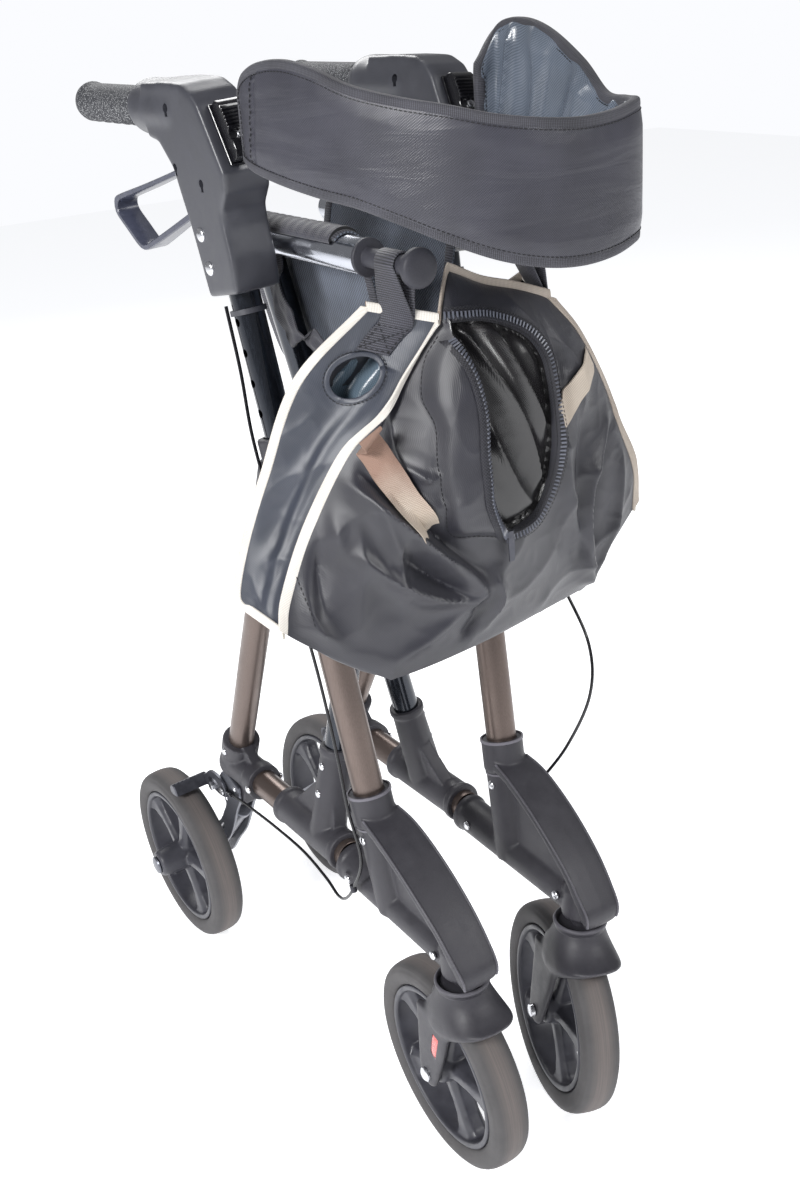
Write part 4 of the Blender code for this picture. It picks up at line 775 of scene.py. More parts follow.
def hood():
    """The fork, about its stem: a round shoulder that spreads over the tyre into two legs."""
    rows = []
    for z, wide, front, back, rise, fat in (
        (0.217, 0.0222, -0.0222, 0.0222, 0.0, 1.0),
        (0.212, 0.023, -0.0236, 0.0238, 0.0, 1.0),
        (0.206, 0.0246, -0.0275, 0.0285, 0.0, 0.95),
        (0.199, 0.0268, -0.0345, 0.035, 0.002, 0.9),
        (0.1915, 0.029, -0.042, 0.039, 0.006, 0.84),
        (0.1835, 0.0305, -0.0485, 0.0408, 0.012, 0.8),
        (0.176, 0.0312, -0.052, 0.041, 0.019, 0.78),
        (0.1725, 0.0304, -0.0495, 0.0408, 0.02, 0.78),
        (0.17, 0.0286, -0.03, 0.0405, 0.011, 0.78),
        (0.164, 0.028, -0.012, 0.0405, 0.002, 0.78),
    ):
        middle, reach = (front + back) / 2, (back - front) / 2
        ring = []
        for step in range(32):
            turn = math.tau * step / 32
            a, b = math.cos(turn), math.sin(turn)
            y = middle + reach * math.copysign(abs(b) ** fat, b)
            ring.append(Vector((wide * math.copysign(abs(a) ** fat, a), y, z + rise * max(0.0, -y / 0.05))))
        rows.append(ring)
    parts = [skin(rows)]
    for sign in (-1, 1):
        rows = []
        for z, front, back in (
            (0.184, -0.013, 0.0405),
            (0.164, -0.005, 0.0422),
            (0.145, 0.0015, 0.0445),
            (0.13, 0.008, 0.0465),
            (0.112, 0.016, 0.0492),
            (0.098, 0.0225, 0.0492),
            (0.0895, 0.0262, 0.046),
            (0.086, 0.031, 0.0412),
        ):
            inner, outer = 0.0216, 0.0285
            row = [(inner, front), (outer - 0.002, front), (outer, front + 0.003)]
            row += [(outer, back - 0.003), (outer - 0.002, back), (inner, back)]
            rows.append([Vector((sign * x, y, z)) for x, y in row])
        parts.append(skin(rows))
    axle = Vector((0, 0.036, WHEEL))
    room = rod(axle - OUT * 0.0215, axle + OUT * 0.0215, WHEEL + 0.0035, 96)
    collar = [
        (0, 0.0226), (0.0034, 0.023), (0.0048, 0.0242), (0.0066, 0.0245), (0.0079, 0.0238), (0.0083, 0.0224)
    ]
    collar += [(0.0072, 0.021), (0.0042, 0.02), (0.0034, 0.012), (0.0034, 0.008), (0.049, 0.008)]
    collar = lathe(collar, (0, 0, 0.2135), (0, 0, 1))
    bores = [rod(axle - OUT * 0.04, axle + OUT * 0.04, AXLE_HOLE, 24), plate(POCKET_SHAPE, 0.0263, 0.04)]
    return fused(parts, 0.0012, 12, hollows=[room], bores=bores, blend=22), collar


fork, collar = hood()
lens_middle = sum((Vector(p) for p in POCKET_SHAPE), Vector((0, 0))) / 4
lens_edge = rounded([lens_middle + (Vector(p) - lens_middle) * 0.93 for p in POCKET_SHAPE], 32)
rows = []
for x, share in ((0.0266, 1.0), (0.0279, 1.0), (0.0284, 0.86), (0.0285, 0.4)):
    rows.append([Vector((x, *(lens_middle + (p - lens_middle) * share))) for p in lens_edge])
lens_mesh = skin(rows)

# retroreflector: clear red acrylic with a moulded prism grid
reflector = start_finish(
    "red_prismatic_acrylic", "#d0342e", 0.12, IOR=1.49, Coat_Weight=0.6, Coat_Roughness=0.04
)
# prisms are 1 mm across, drawn at 2 mm so that they show
prism = cells(reflector, 0.002)
emboss(reflector, prism, 0.5, 0.0006)
tint(reflector, prism, "#e8564c", "#b01f1d")

bolt = [(-0.033, 0), (-0.033, 0.004), (-0.0322, 0.0058), (-0.029, 0.0062), (-0.0288, 0.004), (0.0288, 0.004)]
bolt += [(0.0288, 0.007), (0.0306, 0.0068), (0.0321, 0.0048), (0.0326, 0.0018), (0.0327, 0)]
bolt = lathe(bolt, (0, 0.036, WHEEL), OUT, 40)
for name, side in SIDES:
    place, body = under_stem(name, side), f"{name}_caster"
    fit(
        f"{name}_fork_hood", together([fork.copy(), collar.copy()]), nylon, body, [f"{name}_caster_fork"],
        place, 50
    )
    fit(
        f"{name}_fork_lens", lens_mesh.copy(), reflector, body, [f"{name}_fork_reflector"],
        place
    )
    fit(f"{name}_wheel_bolt", bolt.copy(), zinc, body, [f"{name}_front_axle"], place)

# The rear struts and parking brakes. Two pressed pewter-grey plates round a short post carry the
# wheel on a steel axle, and a dark slotted arm on a pin presses its shoe on the tyre.


def dished(outline, low, high, ease=0.0007):
    """A pressed plate across x whose edges are eased on both faces."""
    middle = sum((Vector(p) for p in outline), Vector((0, 0))) / len(outline)
    closed = rounded(outline, 4 * len(outline))
    rows = []
    for x, shrink in ((low, ease), (low + ease, 0.0), (high - ease, 0.0), (high, ease)):
        row = []
        for p in closed:
            inward = (middle - p).normalized() * shrink
            row.append(Vector((x, *(p + inward))))
        rows.append(row)
    return skin(rows)


def cut_out(mesh, *tools):
    """A shape less some others."""
    body = placed("body", mesh)
    return worked(body, *[add_cut(body, tool) for tool in tools])


def strut():
    outline = [(-0.004, 0.23), (0.01, 0.235), (0.026, 0.2385), (0.04, 0.226), (0.0415, 0.206)]
    outline += [(0.036, 0.193), (0.048, 0.1755), (0.06, 0.16), (0.087, 0.1385), (0.115, 0.117)]
    outline += [(0.127, 0.108), (0.128, 0.095), (0.117, 0.085), (0.099, 0.087)]
    outline += [(0.07, 0.118), (0.04, 0.15), (0.01, 0.196), (-0.002, 0.213)]
    slot = [(0.052, 0.154), (0.058, 0.156), (0.092, 0.126), (0.09, 0.12), (0.083, 0.121)]
    window = plate(rounded(slot, 24), -0.03, 0.03)
    axle = rod((-0.03, REAR_AXLE.y, REAR_AXLE.z), (0.03, REAR_AXLE.y, REAR_AXLE.z), AXLE_HOLE, 24)
    pin = rod((-0.03, 0.03, 0.213), (0.03, 0.03, 0.213), 0.0033, 24)
    plates = []
    for low, high in ((0.008, 0.0115), (-0.0115, -0.008)):
        plates.append(cut_out(dished(outline, low, high), window.copy(), axle.copy(), pin.copy()))
    post = [
        (0, 0.006), (0, 0.0098), (0.0008, 0.0105), (0.0082, 0.0105), (0.0092, 0.0088), (0.112, 0.0088),
        (0.118, 0.007), (0.12, 0)
    ]
    post = lathe(post, (0, 0.02, 0.19), (0, 0.7, -0.72), 48)
    bridge = dished([(0.04, 0.178), (0.052, 0.168), (0.046, 0.16), (0.034, 0.17)], -0.0085, 0.0085)
    return together([*plates, post, bridge])


def brake():
    outline = [(0.0235, 0.208), (0.0235, 0.22), (0.034, 0.2275), (0.056, 0.227), (0.07, 0.2175)]
    outline += [(0.083, 0.2095), (0.086, 0.204), (0.078, 0.2), (0.062, 0.2045), (0.036, 0.2045)]
    slot = [(0.04, 0.218), (0.046, 0.22), (0.058, 0.2185), (0.063, 0.215), (0.056, 0.213), (0.042, 0.213)]
    arm = cut_out(dished(outline, 0.0118, 0.0158), plate(rounded(slot, 24), -0.03, 0.06))
    bar = [
        (0.07, 0.203), (0.074, 0.21), (0.078, 0.214), (0.0835, 0.212), (0.0875, 0.2085), (0.0862, 0.2016),
        (0.078, 0.2005)
    ]
    bar = dished(bar, 0.0118, 0.053, 0.001)
    rib = [(0.0715, 0.2022), (0.0782, 0.215), (0.088, 0.2092), (0.0868, 0.2012)]
    ribs = []
    for step in range(7):
        x = 0.02 + 0.005 * step
        ribs.append(plate(rib, x, x + 0.0014))
    return together([arm, bar, *ribs])


# pressed steel, powder coated pewter grey with a little metal flake
coat = {"Coat_Weight": 0.25, "Coat_Roughness": 0.3}
pewter = start_finish("pewter_powder_coat", "#9a9ca2", 0.36, Metallic=0.75, **coat)
# flakes are 0.1 mm, drawn at 0.6 mm so that they show
tint(pewter, cells(pewter, 0.0006), "#7e8089", "#595b63")
emboss(pewter, cloudy(pewter, 500.0), 0.18, 0.0003)

# the brake arm: the same pressing in black oxide, with grey rubbed edges
black_steel = start_finish("black_oxide_steel", "#35363b", 0.38, Metallic=0.7)
rub = cloudy(black_steel, 160.0, 5.0)
tint(black_steel, rub, "#3c3d43", "#66676f")
polish(black_steel, rub, 0.28, 0.5)

axle_reach = REAR_AXLE.x + HUB_OUT + 0.0158
shaft = [(0, 0), (0, 0.006), (0.0012, 0.0075), (0.004, 0.0075), (0.004, 0.004), (axle_reach + 0.0003, 0.004)]
shaft += [
    (axle_reach + 0.0003, 0.0094), (axle_reach + 0.0016, 0.0104), (axle_reach + 0.003, 0.0095),
    (axle_reach + 0.004, 0.006), (axle_reach + 0.004, 0)
]
for name, side in SIDES:
    fit(
        f"{name}_strut_pressed", strut(), pewter, f"{name}_frame", [f"{name}_rear_strut"],
        stand(side), 30
    )
    made = lathe(shaft, (-0.0158, REAR_AXLE.y, REAR_AXLE.z), OUT, 40)
    fit(f"{name}_axle_turned", made, pewter, f"{name}_frame", [f"{name}_rear_axle"], stand(side), 30)
    fit(
        f"{name}_brake_pressed", brake(), black_steel, f"{name}_brake", [f"{name}_brake_arm"],
        stand(side), 30
    )
    pin = [
        (0, 0), (0, 0.004), (0.001, 0.0048), (0.0018, 0.003), (0.0312, 0.003), (0.0312, 0.0046),
        (0.0325, 0.004), (0.033, 0)
    ]
    pin = lathe(pin, (-0.0143, 0.03, 0.213), OUT, 32)
    nut = lathe(
        [(0, 0), (0, 0.0054), (0.0036, 0.0054), (0.0042, 0.0046), (0.0046, 0)], (0.0156, 0.053, 0.21), OUT,
        6
    )
    fit(
        f"{name}_brake_pin", together([pin, nut]), zinc, f"{name}_brake", place=stand(side),
        sharp=30
    )
    strut_rivets = []
    for y, z in ((0.006, 0.2245), (0.0335, 0.2), (0.064, 0.144), (0.102, 0.113)):
        strut_rivets += both_faces(Vector((0, y, z)), 0.0115)
    rivet(f"{name}_strut_rivets", strut_rivets, 0.003, 0.0015, f"{name}_frame", stand(side))

# The folding brace. Two glossy black legs cross under the seat. Each turns on its bottom tube in
# a moulded sleeve and carries a polished seat rail, with a peg for the bag at its front end.
LEG = {"a": -0.178, "b": -0.152}
RAIL = Vector((0.058, 0.0, 0.822))
RAIL_RADIUS = 0.0135


def leg_line(letter):
    """A leg's lower pivot, its rail end and the way between them."""
    sign = -1.0 if letter == "a" else 1.0
    foot = Vector((sign * (HALF_TRACK + 0.155 * math.sin(LEAN)), LEG[letter], 0.1 + 0.155 * math.cos(LEAN)))
    head = Vector((-sign * RAIL.x, LEG[letter], RAIL.z))
    return sign, foot, head, (head - foot).normalized()


def sleeve(letter):
    sign, foot, head, along = leg_line(letter)
    base = Vector((foot.x, 0.0, foot.z))
    barrel = [(0, 0.019), (0.0008, COLLAR), (0.0065, COLLAR), (0.0085, 0.018), (0.1025, 0.018)]
    barrel += [(0.1045, COLLAR), (0.1102, COLLAR), (0.111, 0.019)]
    barrel = lathe(barrel, base + Vector((0, -0.2135, 0)), (0, 1, 0))
    socket = [
        (0, 0.0178), (0.06, 0.0163), (0.0858, 0.0155), (0.0876, 0.0172), (0.0934, 0.0172), (0.094, 0.0166)
    ]
    socket = lathe(socket, foot, along)
    web = plate(
        [(-0.1995, 0.01), (LEG[letter] - 0.012, 0.058), (LEG[letter] + 0.012, 0.058), (-0.1165, 0.01)],
        -0.0072, 0.0072
    )
    web.transform(Matrix.Translation(base) @ Matrix.Rotation(math.atan2(along.x, along.z), 4, "Y"))
    bores = [
        rod(base + Vector((0, -0.24, 0)), base + Vector((0, -0.08, 0)), 0.0143),
        rod(foot + along * 0.0337, foot + along * 0.12, 0.0128)
    ]
    return fused([barrel, socket, web], 0.0011, 10, bores=bores)


# legs and handle tubes: aluminium, anodised black and polished, with a cold blue sheen
coat = {"Coat_Weight": 0.5, "Coat_Roughness": 0.08}
black_tube = start_finish("black_anodised_tube", "#1d2026", 0.2, Metallic=0.75, **coat)
lines = cloudy(black_tube, 1.0, 2.0, stretch=(1500, 1500, 40))
tint(black_tube, lines, "#1a1d23", "#343943")
polish(black_tube, lines, 0.14, 0.27)

# seat rails: steel, dark chrome, mirror bright
dark_chrome = start_finish("dark_chrome_steel", "#bcbfc7", 0.16, Metallic=1.0)
polish(dark_chrome, cloudy(dark_chrome, 90.0, 5.0), 0.13, 0.27, 0.35, 0.75)

# pegs and end discs: soft black nylon, matt from the mould
matt_black = start_finish("matt_black_nylon", "#34343a", 0.55, Specular_IOR_Level=0.4)
fine = cloudy(matt_black, 1 / 0.0007)
emboss(matt_black, fine, 0.2, 0.0003)
tint(matt_black, fine, "#2b2b31", "#404048")

for letter, rail_side in (("a", 1), ("b", -1)):
    sign, foot, head, along = leg_line(letter)
    body = f"brace_{letter}"
    rail_name = "left" if rail_side > 0 else "right"
    fit(
        f"{body}_leg_drawn", tube(foot + along * 0.0343, head, 0.0125, 0.011), black_tube, body,
        [f"{body}_leg"], MIDDLE
    )
    fit(f"{body}_sleeve_moulded", sleeve(letter), nylon, body, [f"{body}_sleeve"], MIDDLE)
    # a rail's closed back end is domed
    rail = [
        (0, 0.012), (0, 0.0133), (0.0003, RAIL_RADIUS), (0.243, RAIL_RADIUS), (0.2452, 0.0126),
        (0.2463, 0.0105), (0.2465, 0)
    ]
    rail = lathe(rail, (rail_side * RAIL.x, -0.3125, RAIL.z), (0, 1, 0))
    fit(f"seat_rail_{rail_name}_drawn", rail, dark_chrome, body, [f"seat_rail_{rail_name}"], MIDDLE)
    peg = [
        (0, 0), (0, 0.0117), (0.0203, 0.0117), (0.0203, 0.0138), (0.021, 0.0144), (0.023, 0.0144),
        (0.0237, 0.0138)
    ]
    peg += [
        (0.0245, 0.008), (0.026, 0.0075), (0.0835, 0.0075), (0.0845, 0.008), (0.085, 0.0136),
        (0.0856, 0.0143)
    ]
    peg += [
        (0.0896, 0.0145), (0.0906, 0.0141), (0.0918, 0.0128), (0.0926, 0.011), (0.0929, 0.006), (0.093, 0)
    ]
    peg = lathe(peg, (rail_side * RAIL.x, -0.2925, RAIL.z), (0, -1, 0))
    fit(f"rail_peg_{rail_name}_turned", peg, matt_black, body, [f"rail_peg_{rail_name}"], MIDDLE)
    rivets = [(foot + along * up + OUT * sign * r, OUT * sign) for up, r in ((0.05, 0.0165), (0.078, 0.0157))]
    rivet(f"{body}_rivets", rivets, 0.004, 0.0022, body, MIDDLE)

crossing = leg_line("a")
share = -crossing[1].x / crossing[3].x
pin_place = Vector((0.0, LEG["a"], crossing[1].z + crossing[3].z * share))
scissor = [
    (-0.0168, 0), (-0.0166, 0.004), (-0.0158, 0.0058), (-0.0143, 0.0065), (-0.0128, 0.0065),
    (-0.0128, 0.0035), (0.0129, 0.0035), (0.0129, 0)
]
fit(
    "scissor_pin_turned", lathe(scissor, pin_place, (0, 1, 0), 40), zinc, "brace_a", ["scissor_pin"],
    MIDDLE, 30
)

# The handles. A moulded housing with flat rounded faces slides on its black tube. It carries the
# rubber grip on a barrel, the brake lever in a slot and the backrest's clip on its sloping front.
GRIP_AXIS = 0.9265
LEVER_PIVOT = Vector((0.0, -0.139, 0.88))


def housing():
    outline = [
        (-0.1, 0.948), (-0.12, 0.9488), (-0.14, 0.9495), (-0.172, 0.949), (-0.19, 0.942), (-0.198, 0.9345)
    ]
    outline += [(-0.211, 0.911), (-0.2245, 0.886), (-0.222, 0.87), (-0.211, 0.856), (-0.211, 0.844)]
    outline += [(-0.215, 0.82), (-0.215, 0.793), (-0.165, 0.784), (-0.152, 0.838)]
    outline += [(-0.143, 0.864), (-0.137, 0.883), (-0.118, 0.903), (-0.1, 0.906)]
    body = plate(outline, -0.0205, 0.0205)
    barrel = [
        (0, 0.0185), (0.003, 0.0205), (0.012, 0.0226), (0.062, 0.0226), (0.08, 0.0222), (0.096, 0.019),
        (0.104, 0.012)
    ]
    barrel = lathe(barrel, (0, -0.066, GRIP_AXIS), (0, -1, 0))
    slot = [(-0.09, 0.8985), (-0.149, 0.8985), (-0.152, 0.893), (-0.149, 0.83), (-0.09, 0.83)]
    bores = [rod(up_main(0.4), up_main(0.5243), 0.013), plate(slot, -0.0097, 0.0097)]
    # keyholes: a round hole with a tail below it
    for y, z in ((-0.1454, 0.9304), (-0.1852, 0.8756), (-0.1425, 0.8849)):
        tail = [(y - 0.0022, z - 0.0064), (y + 0.0016, z - 0.0064), (y + 0.0016, z), (y - 0.0022, z)]
        for sign in (1, -1):
            bores.append(rod((sign * 0.0145, y, z), (sign * 0.03, y, z), 0.0036, 24))
            bores.append(plate(tail, *sorted((sign * 0.0145, sign * 0.03))))
    made = fused([body, barrel], 0.0012, 10, bores=bores, blend=58)
    lip = lathe(
        [(-0.0012, 0.0132), (-0.0012, 0.015), (0.003, 0.015), (0.003, 0.0132)], up_main(0.4265), MAIN_LINE,
        closed=True
    )
    return together([made, lip])


def lever():
    """A flat band bent to a loop, its root in the housing's slot."""
    outer = [(-0.144, 0.887), (-0.134, 0.888), (-0.115, 0.88), (-0.05, 0.864)]
    outer += [(0.012, 0.85), (0.022, 0.8455), (0.025, 0.838), (0.022, 0.831)]
    outer += [(0.006, 0.82), (-0.014, 0.807), (-0.024, 0.8045), (-0.04, 0.8085)]
    outer += [(-0.1, 0.831), (-0.133, 0.844), (-0.143, 0.852), (-0.146, 0.874)]
    inner = [(-0.136, 0.874), (-0.131, 0.8745), (-0.113, 0.8745), (-0.05, 0.8595)]
    inner += [(0.008, 0.846), (0.0165, 0.8425), (0.019, 0.838), (0.0165, 0.833)]
    inner += [(0.002, 0.8235), (-0.0165, 0.8115), (-0.0235, 0.8095), (-0.0385, 0.8135)]
    inner += [(-0.098, 0.836), (-0.127, 0.848), (-0.135, 0.856), (-0.137, 0.868)]
    both = [Vector((a[0], a[1], b[0], b[1])) for a, b in zip(outer, inner)]
    even = rounded(both, 96)
    rows = []
    for p in even + even[:1]:
        far, near = Vector((p[0], p[1])), Vector((p[2], p[3]))
        skim = (far - near) * 0.16
        half = 0.0058 + 0.0046 * min(max((far.x + 0.115) / 0.105, 0.0), 1.0)
        row = []
        for x, spot in (
            (0.001 - half, far),
            (half - 0.001, far),
            (half, far - skim),
            (half, near + skim),
            (half - 0.001, near),
            (0.001 - half, near),
            (-half, near + skim),
            (-half, far - skim),
        ):
            row.append(Vector((x, *spot)))
        rows.append(row)
    band = weld(skin(rows, ends=False), 1e-7)
    boss = [(0, 0.0026), (0, 0.0066), (0.0006, 0.007), (0.0174, 0.007), (0.018, 0.0066), (0.018, 0.0026)]
    return together([band, lathe(boss, LEVER_PIVOT - OUT * 0.009, OUT, 32, closed=True)])


def grip():
    """Soft rubber with finger waves beneath, a flange at its root and a domed end."""
    rows = []
    for step in range(121):
        share = step / 120
        y = -0.0657 + 0.124 * share
        wave = 0.0014 * math.cos(math.tau * 6 * share) if share < 0.84 else 0.0
        flare = 0.0014 * max(0.0, 1 - abs(share - 0.93) / 0.05) + 0.0012 * max(0.0, 1 - share / 0.04)
        groove = -0.0006 if abs(share - 0.065) < 0.007 or abs(share - 0.86) < 0.006 else 0.0
        end = 1.0 if share < 0.965 else math.sqrt(max(1 - ((share - 0.965) / 0.035) ** 2 * 0.62, 0.0))
        row = []
        for at in range(48):
            turn = math.tau * at / 48
            beneath = min(max(0.55 - math.sin(turn), 0.0), 1.0)
            radius = (0.0155 + wave * beneath + flare + groove) * end
            row.append(Vector((radius * math.cos(turn), y, GRIP_AXIS + radius * math.sin(turn))))
        rows.append(row)
    return skin(rows)


def clip():
    """The clip: a base plate, a ribbed block and the folded end that holds the strap."""
    foot = Vector((-0.198, 0.9345))
    along = Vector((-0.0265, -0.0485)).normalized()
    out = Vector((along.y, -along.x))
    profile = [
        (0.004, 0.0003), (0.05, 0.0003), (0.05, 0.0098), (0.0485, 0.0125), (0.0455, 0.015), (0.037, 0.015),
        (0.0355, 0.0128), (0.03, 0.0126)
    ]
    for rib in range(6):
        t = 0.0285 - 0.0028 * rib
        profile += [
            (t, 0.0152 if rib else 0.0158), (t - 0.0004, 0.0163), (t - 0.0016, 0.0163), (t - 0.002, 0.015)
        ]
    profile += [(0.01, 0.0158), (0.006, 0.013), (0.004, 0.01)]
    outline = [tuple(foot + along * t + out * h) for t, h in profile]
    block = plate(outline, -0.01, 0.01)
    base = [
        tuple(foot + along * t + out * h)
        for t, h in ((0.003, 0.0003), (0.0515, 0.0003), (0.0515, 0.003), (0.003, 0.003))
    ]
    base = plate(base, -0.012, 0.012)
    work = bmesh.new()
    work.from_mesh(together([block, base]))
    edges = [e for e in work.edges if len(e.link_faces) == 2 and e.calc_face_angle() > 0.6]
    bmesh.ops.bevel(work, geom=edges, offset=0.0004, segments=1, affect="EDGES", clamp_overlap=True)
    mesh = bpy.data.meshes.new("clip")
    work.to_mesh(mesh)
    work.free()
    place = foot + along * 0.033 + out * 0.0128
    screw = lathe([(0, 0.0034), (0.001, 0.0034), (0.0016, 0.0026), (0.0018, 0)], (0, *place), (0, *out), 24)
    return mesh, screw


# housings: matt ABS, a shade bluer and smoother than the castings, silvered where light grazes it
housing_abs = start_finish("matt_moulded_abs", "#3a3b41", 0.38, Specular_IOR_Level=0.8)
# the grain is 0.15 mm in life, drawn at 0.7 mm so that it shows
emboss(housing_abs, cloudy(housing_abs, 1 / 0.0007, 1.0), 0.14, 0.0003)
wear = cloudy(housing_abs, 60.0, 6.0)
polish(housing_abs, wear, 0.33, 0.47)
tint(housing_abs, wear, "#303137", "#404149")

# grips: black thermoplastic rubber with pale mineral specks
speckled = start_finish("speckled_rubber", "#55565a", 0.66, Specular_IOR_Level=0.35)
# specks are 0.4 mm in life, drawn at 1.3 mm so that they show
specks = {0: cells(speckled, 0.0013), 1: 0.22, 2: 0.38, 3: 1.0, 4: 0.0}
specks = add_node(speckled.node_tree, "ShaderNodeMapRange", specks).outputs[0]
tint(speckled, specks, "#3a3b3f", "#a6a7a9")
emboss(speckled, specks, 0.5, 0.0005)

# levers: die-cast, lacquered a cold lavender slate
slate = start_finish("slate_lacquer", "#3d4050", 0.36, Coat_Weight=0.25, Coat_Roughness=0.25)
cloud = cloudy(slate, 120.0, 4.0)
tint(slate, cloud, "#2f3240", "#4a4d5e")
emboss(slate, cloud, 0.1, 0.0003)

# clips and cable skins: glossy black acetal
gloss_black = start_finish("glossy_black_acetal", "#141418", 0.16, Specular_IOR_Level=0.55)
polish(gloss_black, cloudy(gloss_black, 220.0, 3.0), 0.1, 0.28)

shell, grip_shape, lever_shape, (clip_shape, clip_screw) = housing(), grip(), lever(), clip()
for name, side in SIDES:
    body, place = f"{name}_handle", stand(side)
    fit(
        f"{name}_housing_moulded", shell.copy(), housing_abs, body, [f"{name}_handle_housing"],
        place, 50
    )
    fit(f"{name}_grip_moulded", grip_shape.copy(), speckled, body, [f"{name}_hand_grip"], place, 60)
    fit(
        f"{name}_clip_moulded", clip_shape.copy(), gloss_black, body, [f"{name}_strap_clip"],
        place, 30
    )
    fit(f"{name}_clip_screw", clip_screw.copy(), zinc, body, place=place, sharp=30)
    fit(
        f"{name}_lever_band", lever_shape.copy(), slate, f"{name}_lever", [f"{name}_brake_lever"],
        place, 40
    )
    pin = rod(LEVER_PIVOT - OUT * 0.0162, LEVER_PIVOT + OUT * 0.0185, 0.0025, 24)
    fit(f"{name}_lever_pin_turned", pin, zinc, body, [f"{name}_lever_pin"], place)
    stem = tube(up_main(0.15), up_main(0.524), 0.0127, 0.0115)
    # the height button's holes face outboard, one every 25 mm
    holes = [rod(up_main(d), up_main(d) + OUT * 0.02, 0.0036, 20) for d in np.arange(0.345, 0.43, 0.025)]
    fit(
        f"{name}_handle_tube_drawn", cut_out(stem, *holes), black_tube, body, [f"{name}_handle_tube"],
        place
    )
    bolts = both_faces(Vector((0, -0.169, 0.835)), 0.0203) + both_faces(Vector((0, -0.175, 0.809)), 0.0203)
    rivet(f"{name}_housing_rivets", bolts, 0.006, 0.0028, body, place)

# The brake cables. Thin steel wires in black vinyl skins. The right one follows its main tube
# and the left one bows out in front; both end under the frame at the brake arm.
down_right = []
for distance, reach, degrees in (
    (0.4325, 0.0172, 33.0),
    (0.38, 0.0185, 28.0),
    (0.33, 0.0222, 20.0),
    (0.28, 0.0222, 16.0),
    (0.22, 0.0215, 15.0),
    (0.12, 0.0185, 15.0),
    (0.04, 0.02, 13.0),
    (-0.01, 0.023, 8.0),
    (-0.06, 0.0225, 8.0),
):
    turn = math.radians(degrees)
    down_right.append(up_main(distance) + Vector((reach * math.cos(turn), reach * math.sin(turn), 0.0)))
down_left = [up_main(0.4325) + Vector((0.0145, 0.0094, 0.0)), (0.022, -0.188, 0.72), (0.034, -0.208, 0.64)]
down_left += [(0.049, -0.24, 0.566), (0.06, -0.286, 0.496), (0.062, -0.322, 0.45)]
down_left += [(0.056, -0.333, 0.405), (0.042, -0.32, 0.352), (0.03, -0.293, 0.303)]
under = [(0.0235, -0.262, 0.252), (0.022, -0.24, 0.227), (0.0195, -0.22, 0.218), (0.0165, -0.195, 0.222)]
under += [(0.015, -0.15, 0.229), (0.015, -0.09, 0.2285), (0.015, -0.03, 0.224)]
under += [(0.0142, 0.0, 0.219), (0.0138, 0.0228, 0.215)]
for name, side, down in (("right", -1, down_right), ("left", 1, down_left)):
    path = curve_through(down + under, 160)
    end_cap = [(0, 0.0015), (0, 0.0024), (0.012, 0.0024), (0.013, 0.0015)]
    ferrule = lathe(
        end_cap, path[-1] - (path[-1] - path[-8]).normalized() * 0.014, path[-1] - path[-8], 20, closed=True
    )
    wire = together([sweep(path, circle(0.0015, 14)), ferrule])
    skin_here = fit(
        f"{name}_cable_skin", wire, gloss_black, None, [f"{name}_brake_cable"], stand(side), 50
    )
    slack_ends = [stand(side) @ up_main(distance) for distance in (0.44, 0.23)]
    [tuple(p) for p in slack_ends]
    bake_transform(skin_here)
    spot = Vector(under[0])
    hold = lathe(
        [(-0.0035, 0.0016), (-0.0035, 0.003), (0.0035, 0.003), (0.0035, 0.0016)], spot,
        (path[92] - path[88]), 20, closed=True
    )
    fit(f"{name}_cable_guide", hold, matt_black, f"{name}_frame", place=stand(side))

# The seat. Grey polyester mesh sewn round both rails, hanging in a deep V while folded, with a
# padded top band, bound ends and the black pull strap that folds the seat.


def weave(tree, across, along, ribbed=False):
    """The height of a plain or ribbed weave on the cloth map, from its spacings in metres."""
    mapped = add_node(tree, "ShaderNodeUVMap", uv_map="cloth")
    scaled = add_node(
        tree, "ShaderNodeMapping", {0: mapped.outputs[0], 3: (math.pi / across, math.pi / along, 1.0)}
    )
    parts = add_node(tree, "ShaderNodeSeparateXYZ", {0: scaled.outputs[0]})
    warp = maths(tree, "SINE", parts.outputs[0])
    weft = maths(tree, "SINE", parts.outputs[1])
    if ribbed:
        weft = maths(tree, "ABSOLUTE", weft)
        weft = add_node(tree, "ShaderNodeMapRange", {0: weft, 3: 0.55, 4: 1.0}).outputs[0]
        return maths(tree, "MULTIPLY", maths(tree, "ABSOLUTE", warp), weft)
    both = maths(tree, "MULTIPLY", warp, weft)
    return add_node(tree, "ShaderNodeMapRange", {0: both, 1: -1.0, 2: 1.0}).outputs[0]


def start_cloth(name, dark, pale, across, along, depth, roughness, ribbed=False, **sockets):
    """A woven finish: its two thread tones, spacings in metres and depth of relief in metres."""
    finish = start_finish(name, pale, roughness, **sockets)
    tree = finish.node_tree
    height = weave(tree, across, along, ribbed)
    soil = {0: cloudy(finish, 26.0, 5.0), 1: 0.3, 2: 0.7, 3: -0.18, 4: 0.18}
    soil = add_node(tree, "ShaderNodeMapRange", soil).outputs[0]
    tint(finish, maths(tree, "ADD", soil, height, use_clamp=True), dark, pale)
    emboss(finish, height, 0.6, depth)
    return finish


def several(parts):
    """Shapes with a finish each, as one mesh that keeps them all."""
    finishes = []
    for mesh, finish in parts:
        if finish not in finishes:
            finishes.append(finish)
        mesh.polygons.foreach_set("material_index", [finishes.index(finish)] * len(mesh.polygons))
    whole = together([mesh for mesh, finish in parts])
    for finish in finishes:
        whole.materials.append(finish)
    return whole


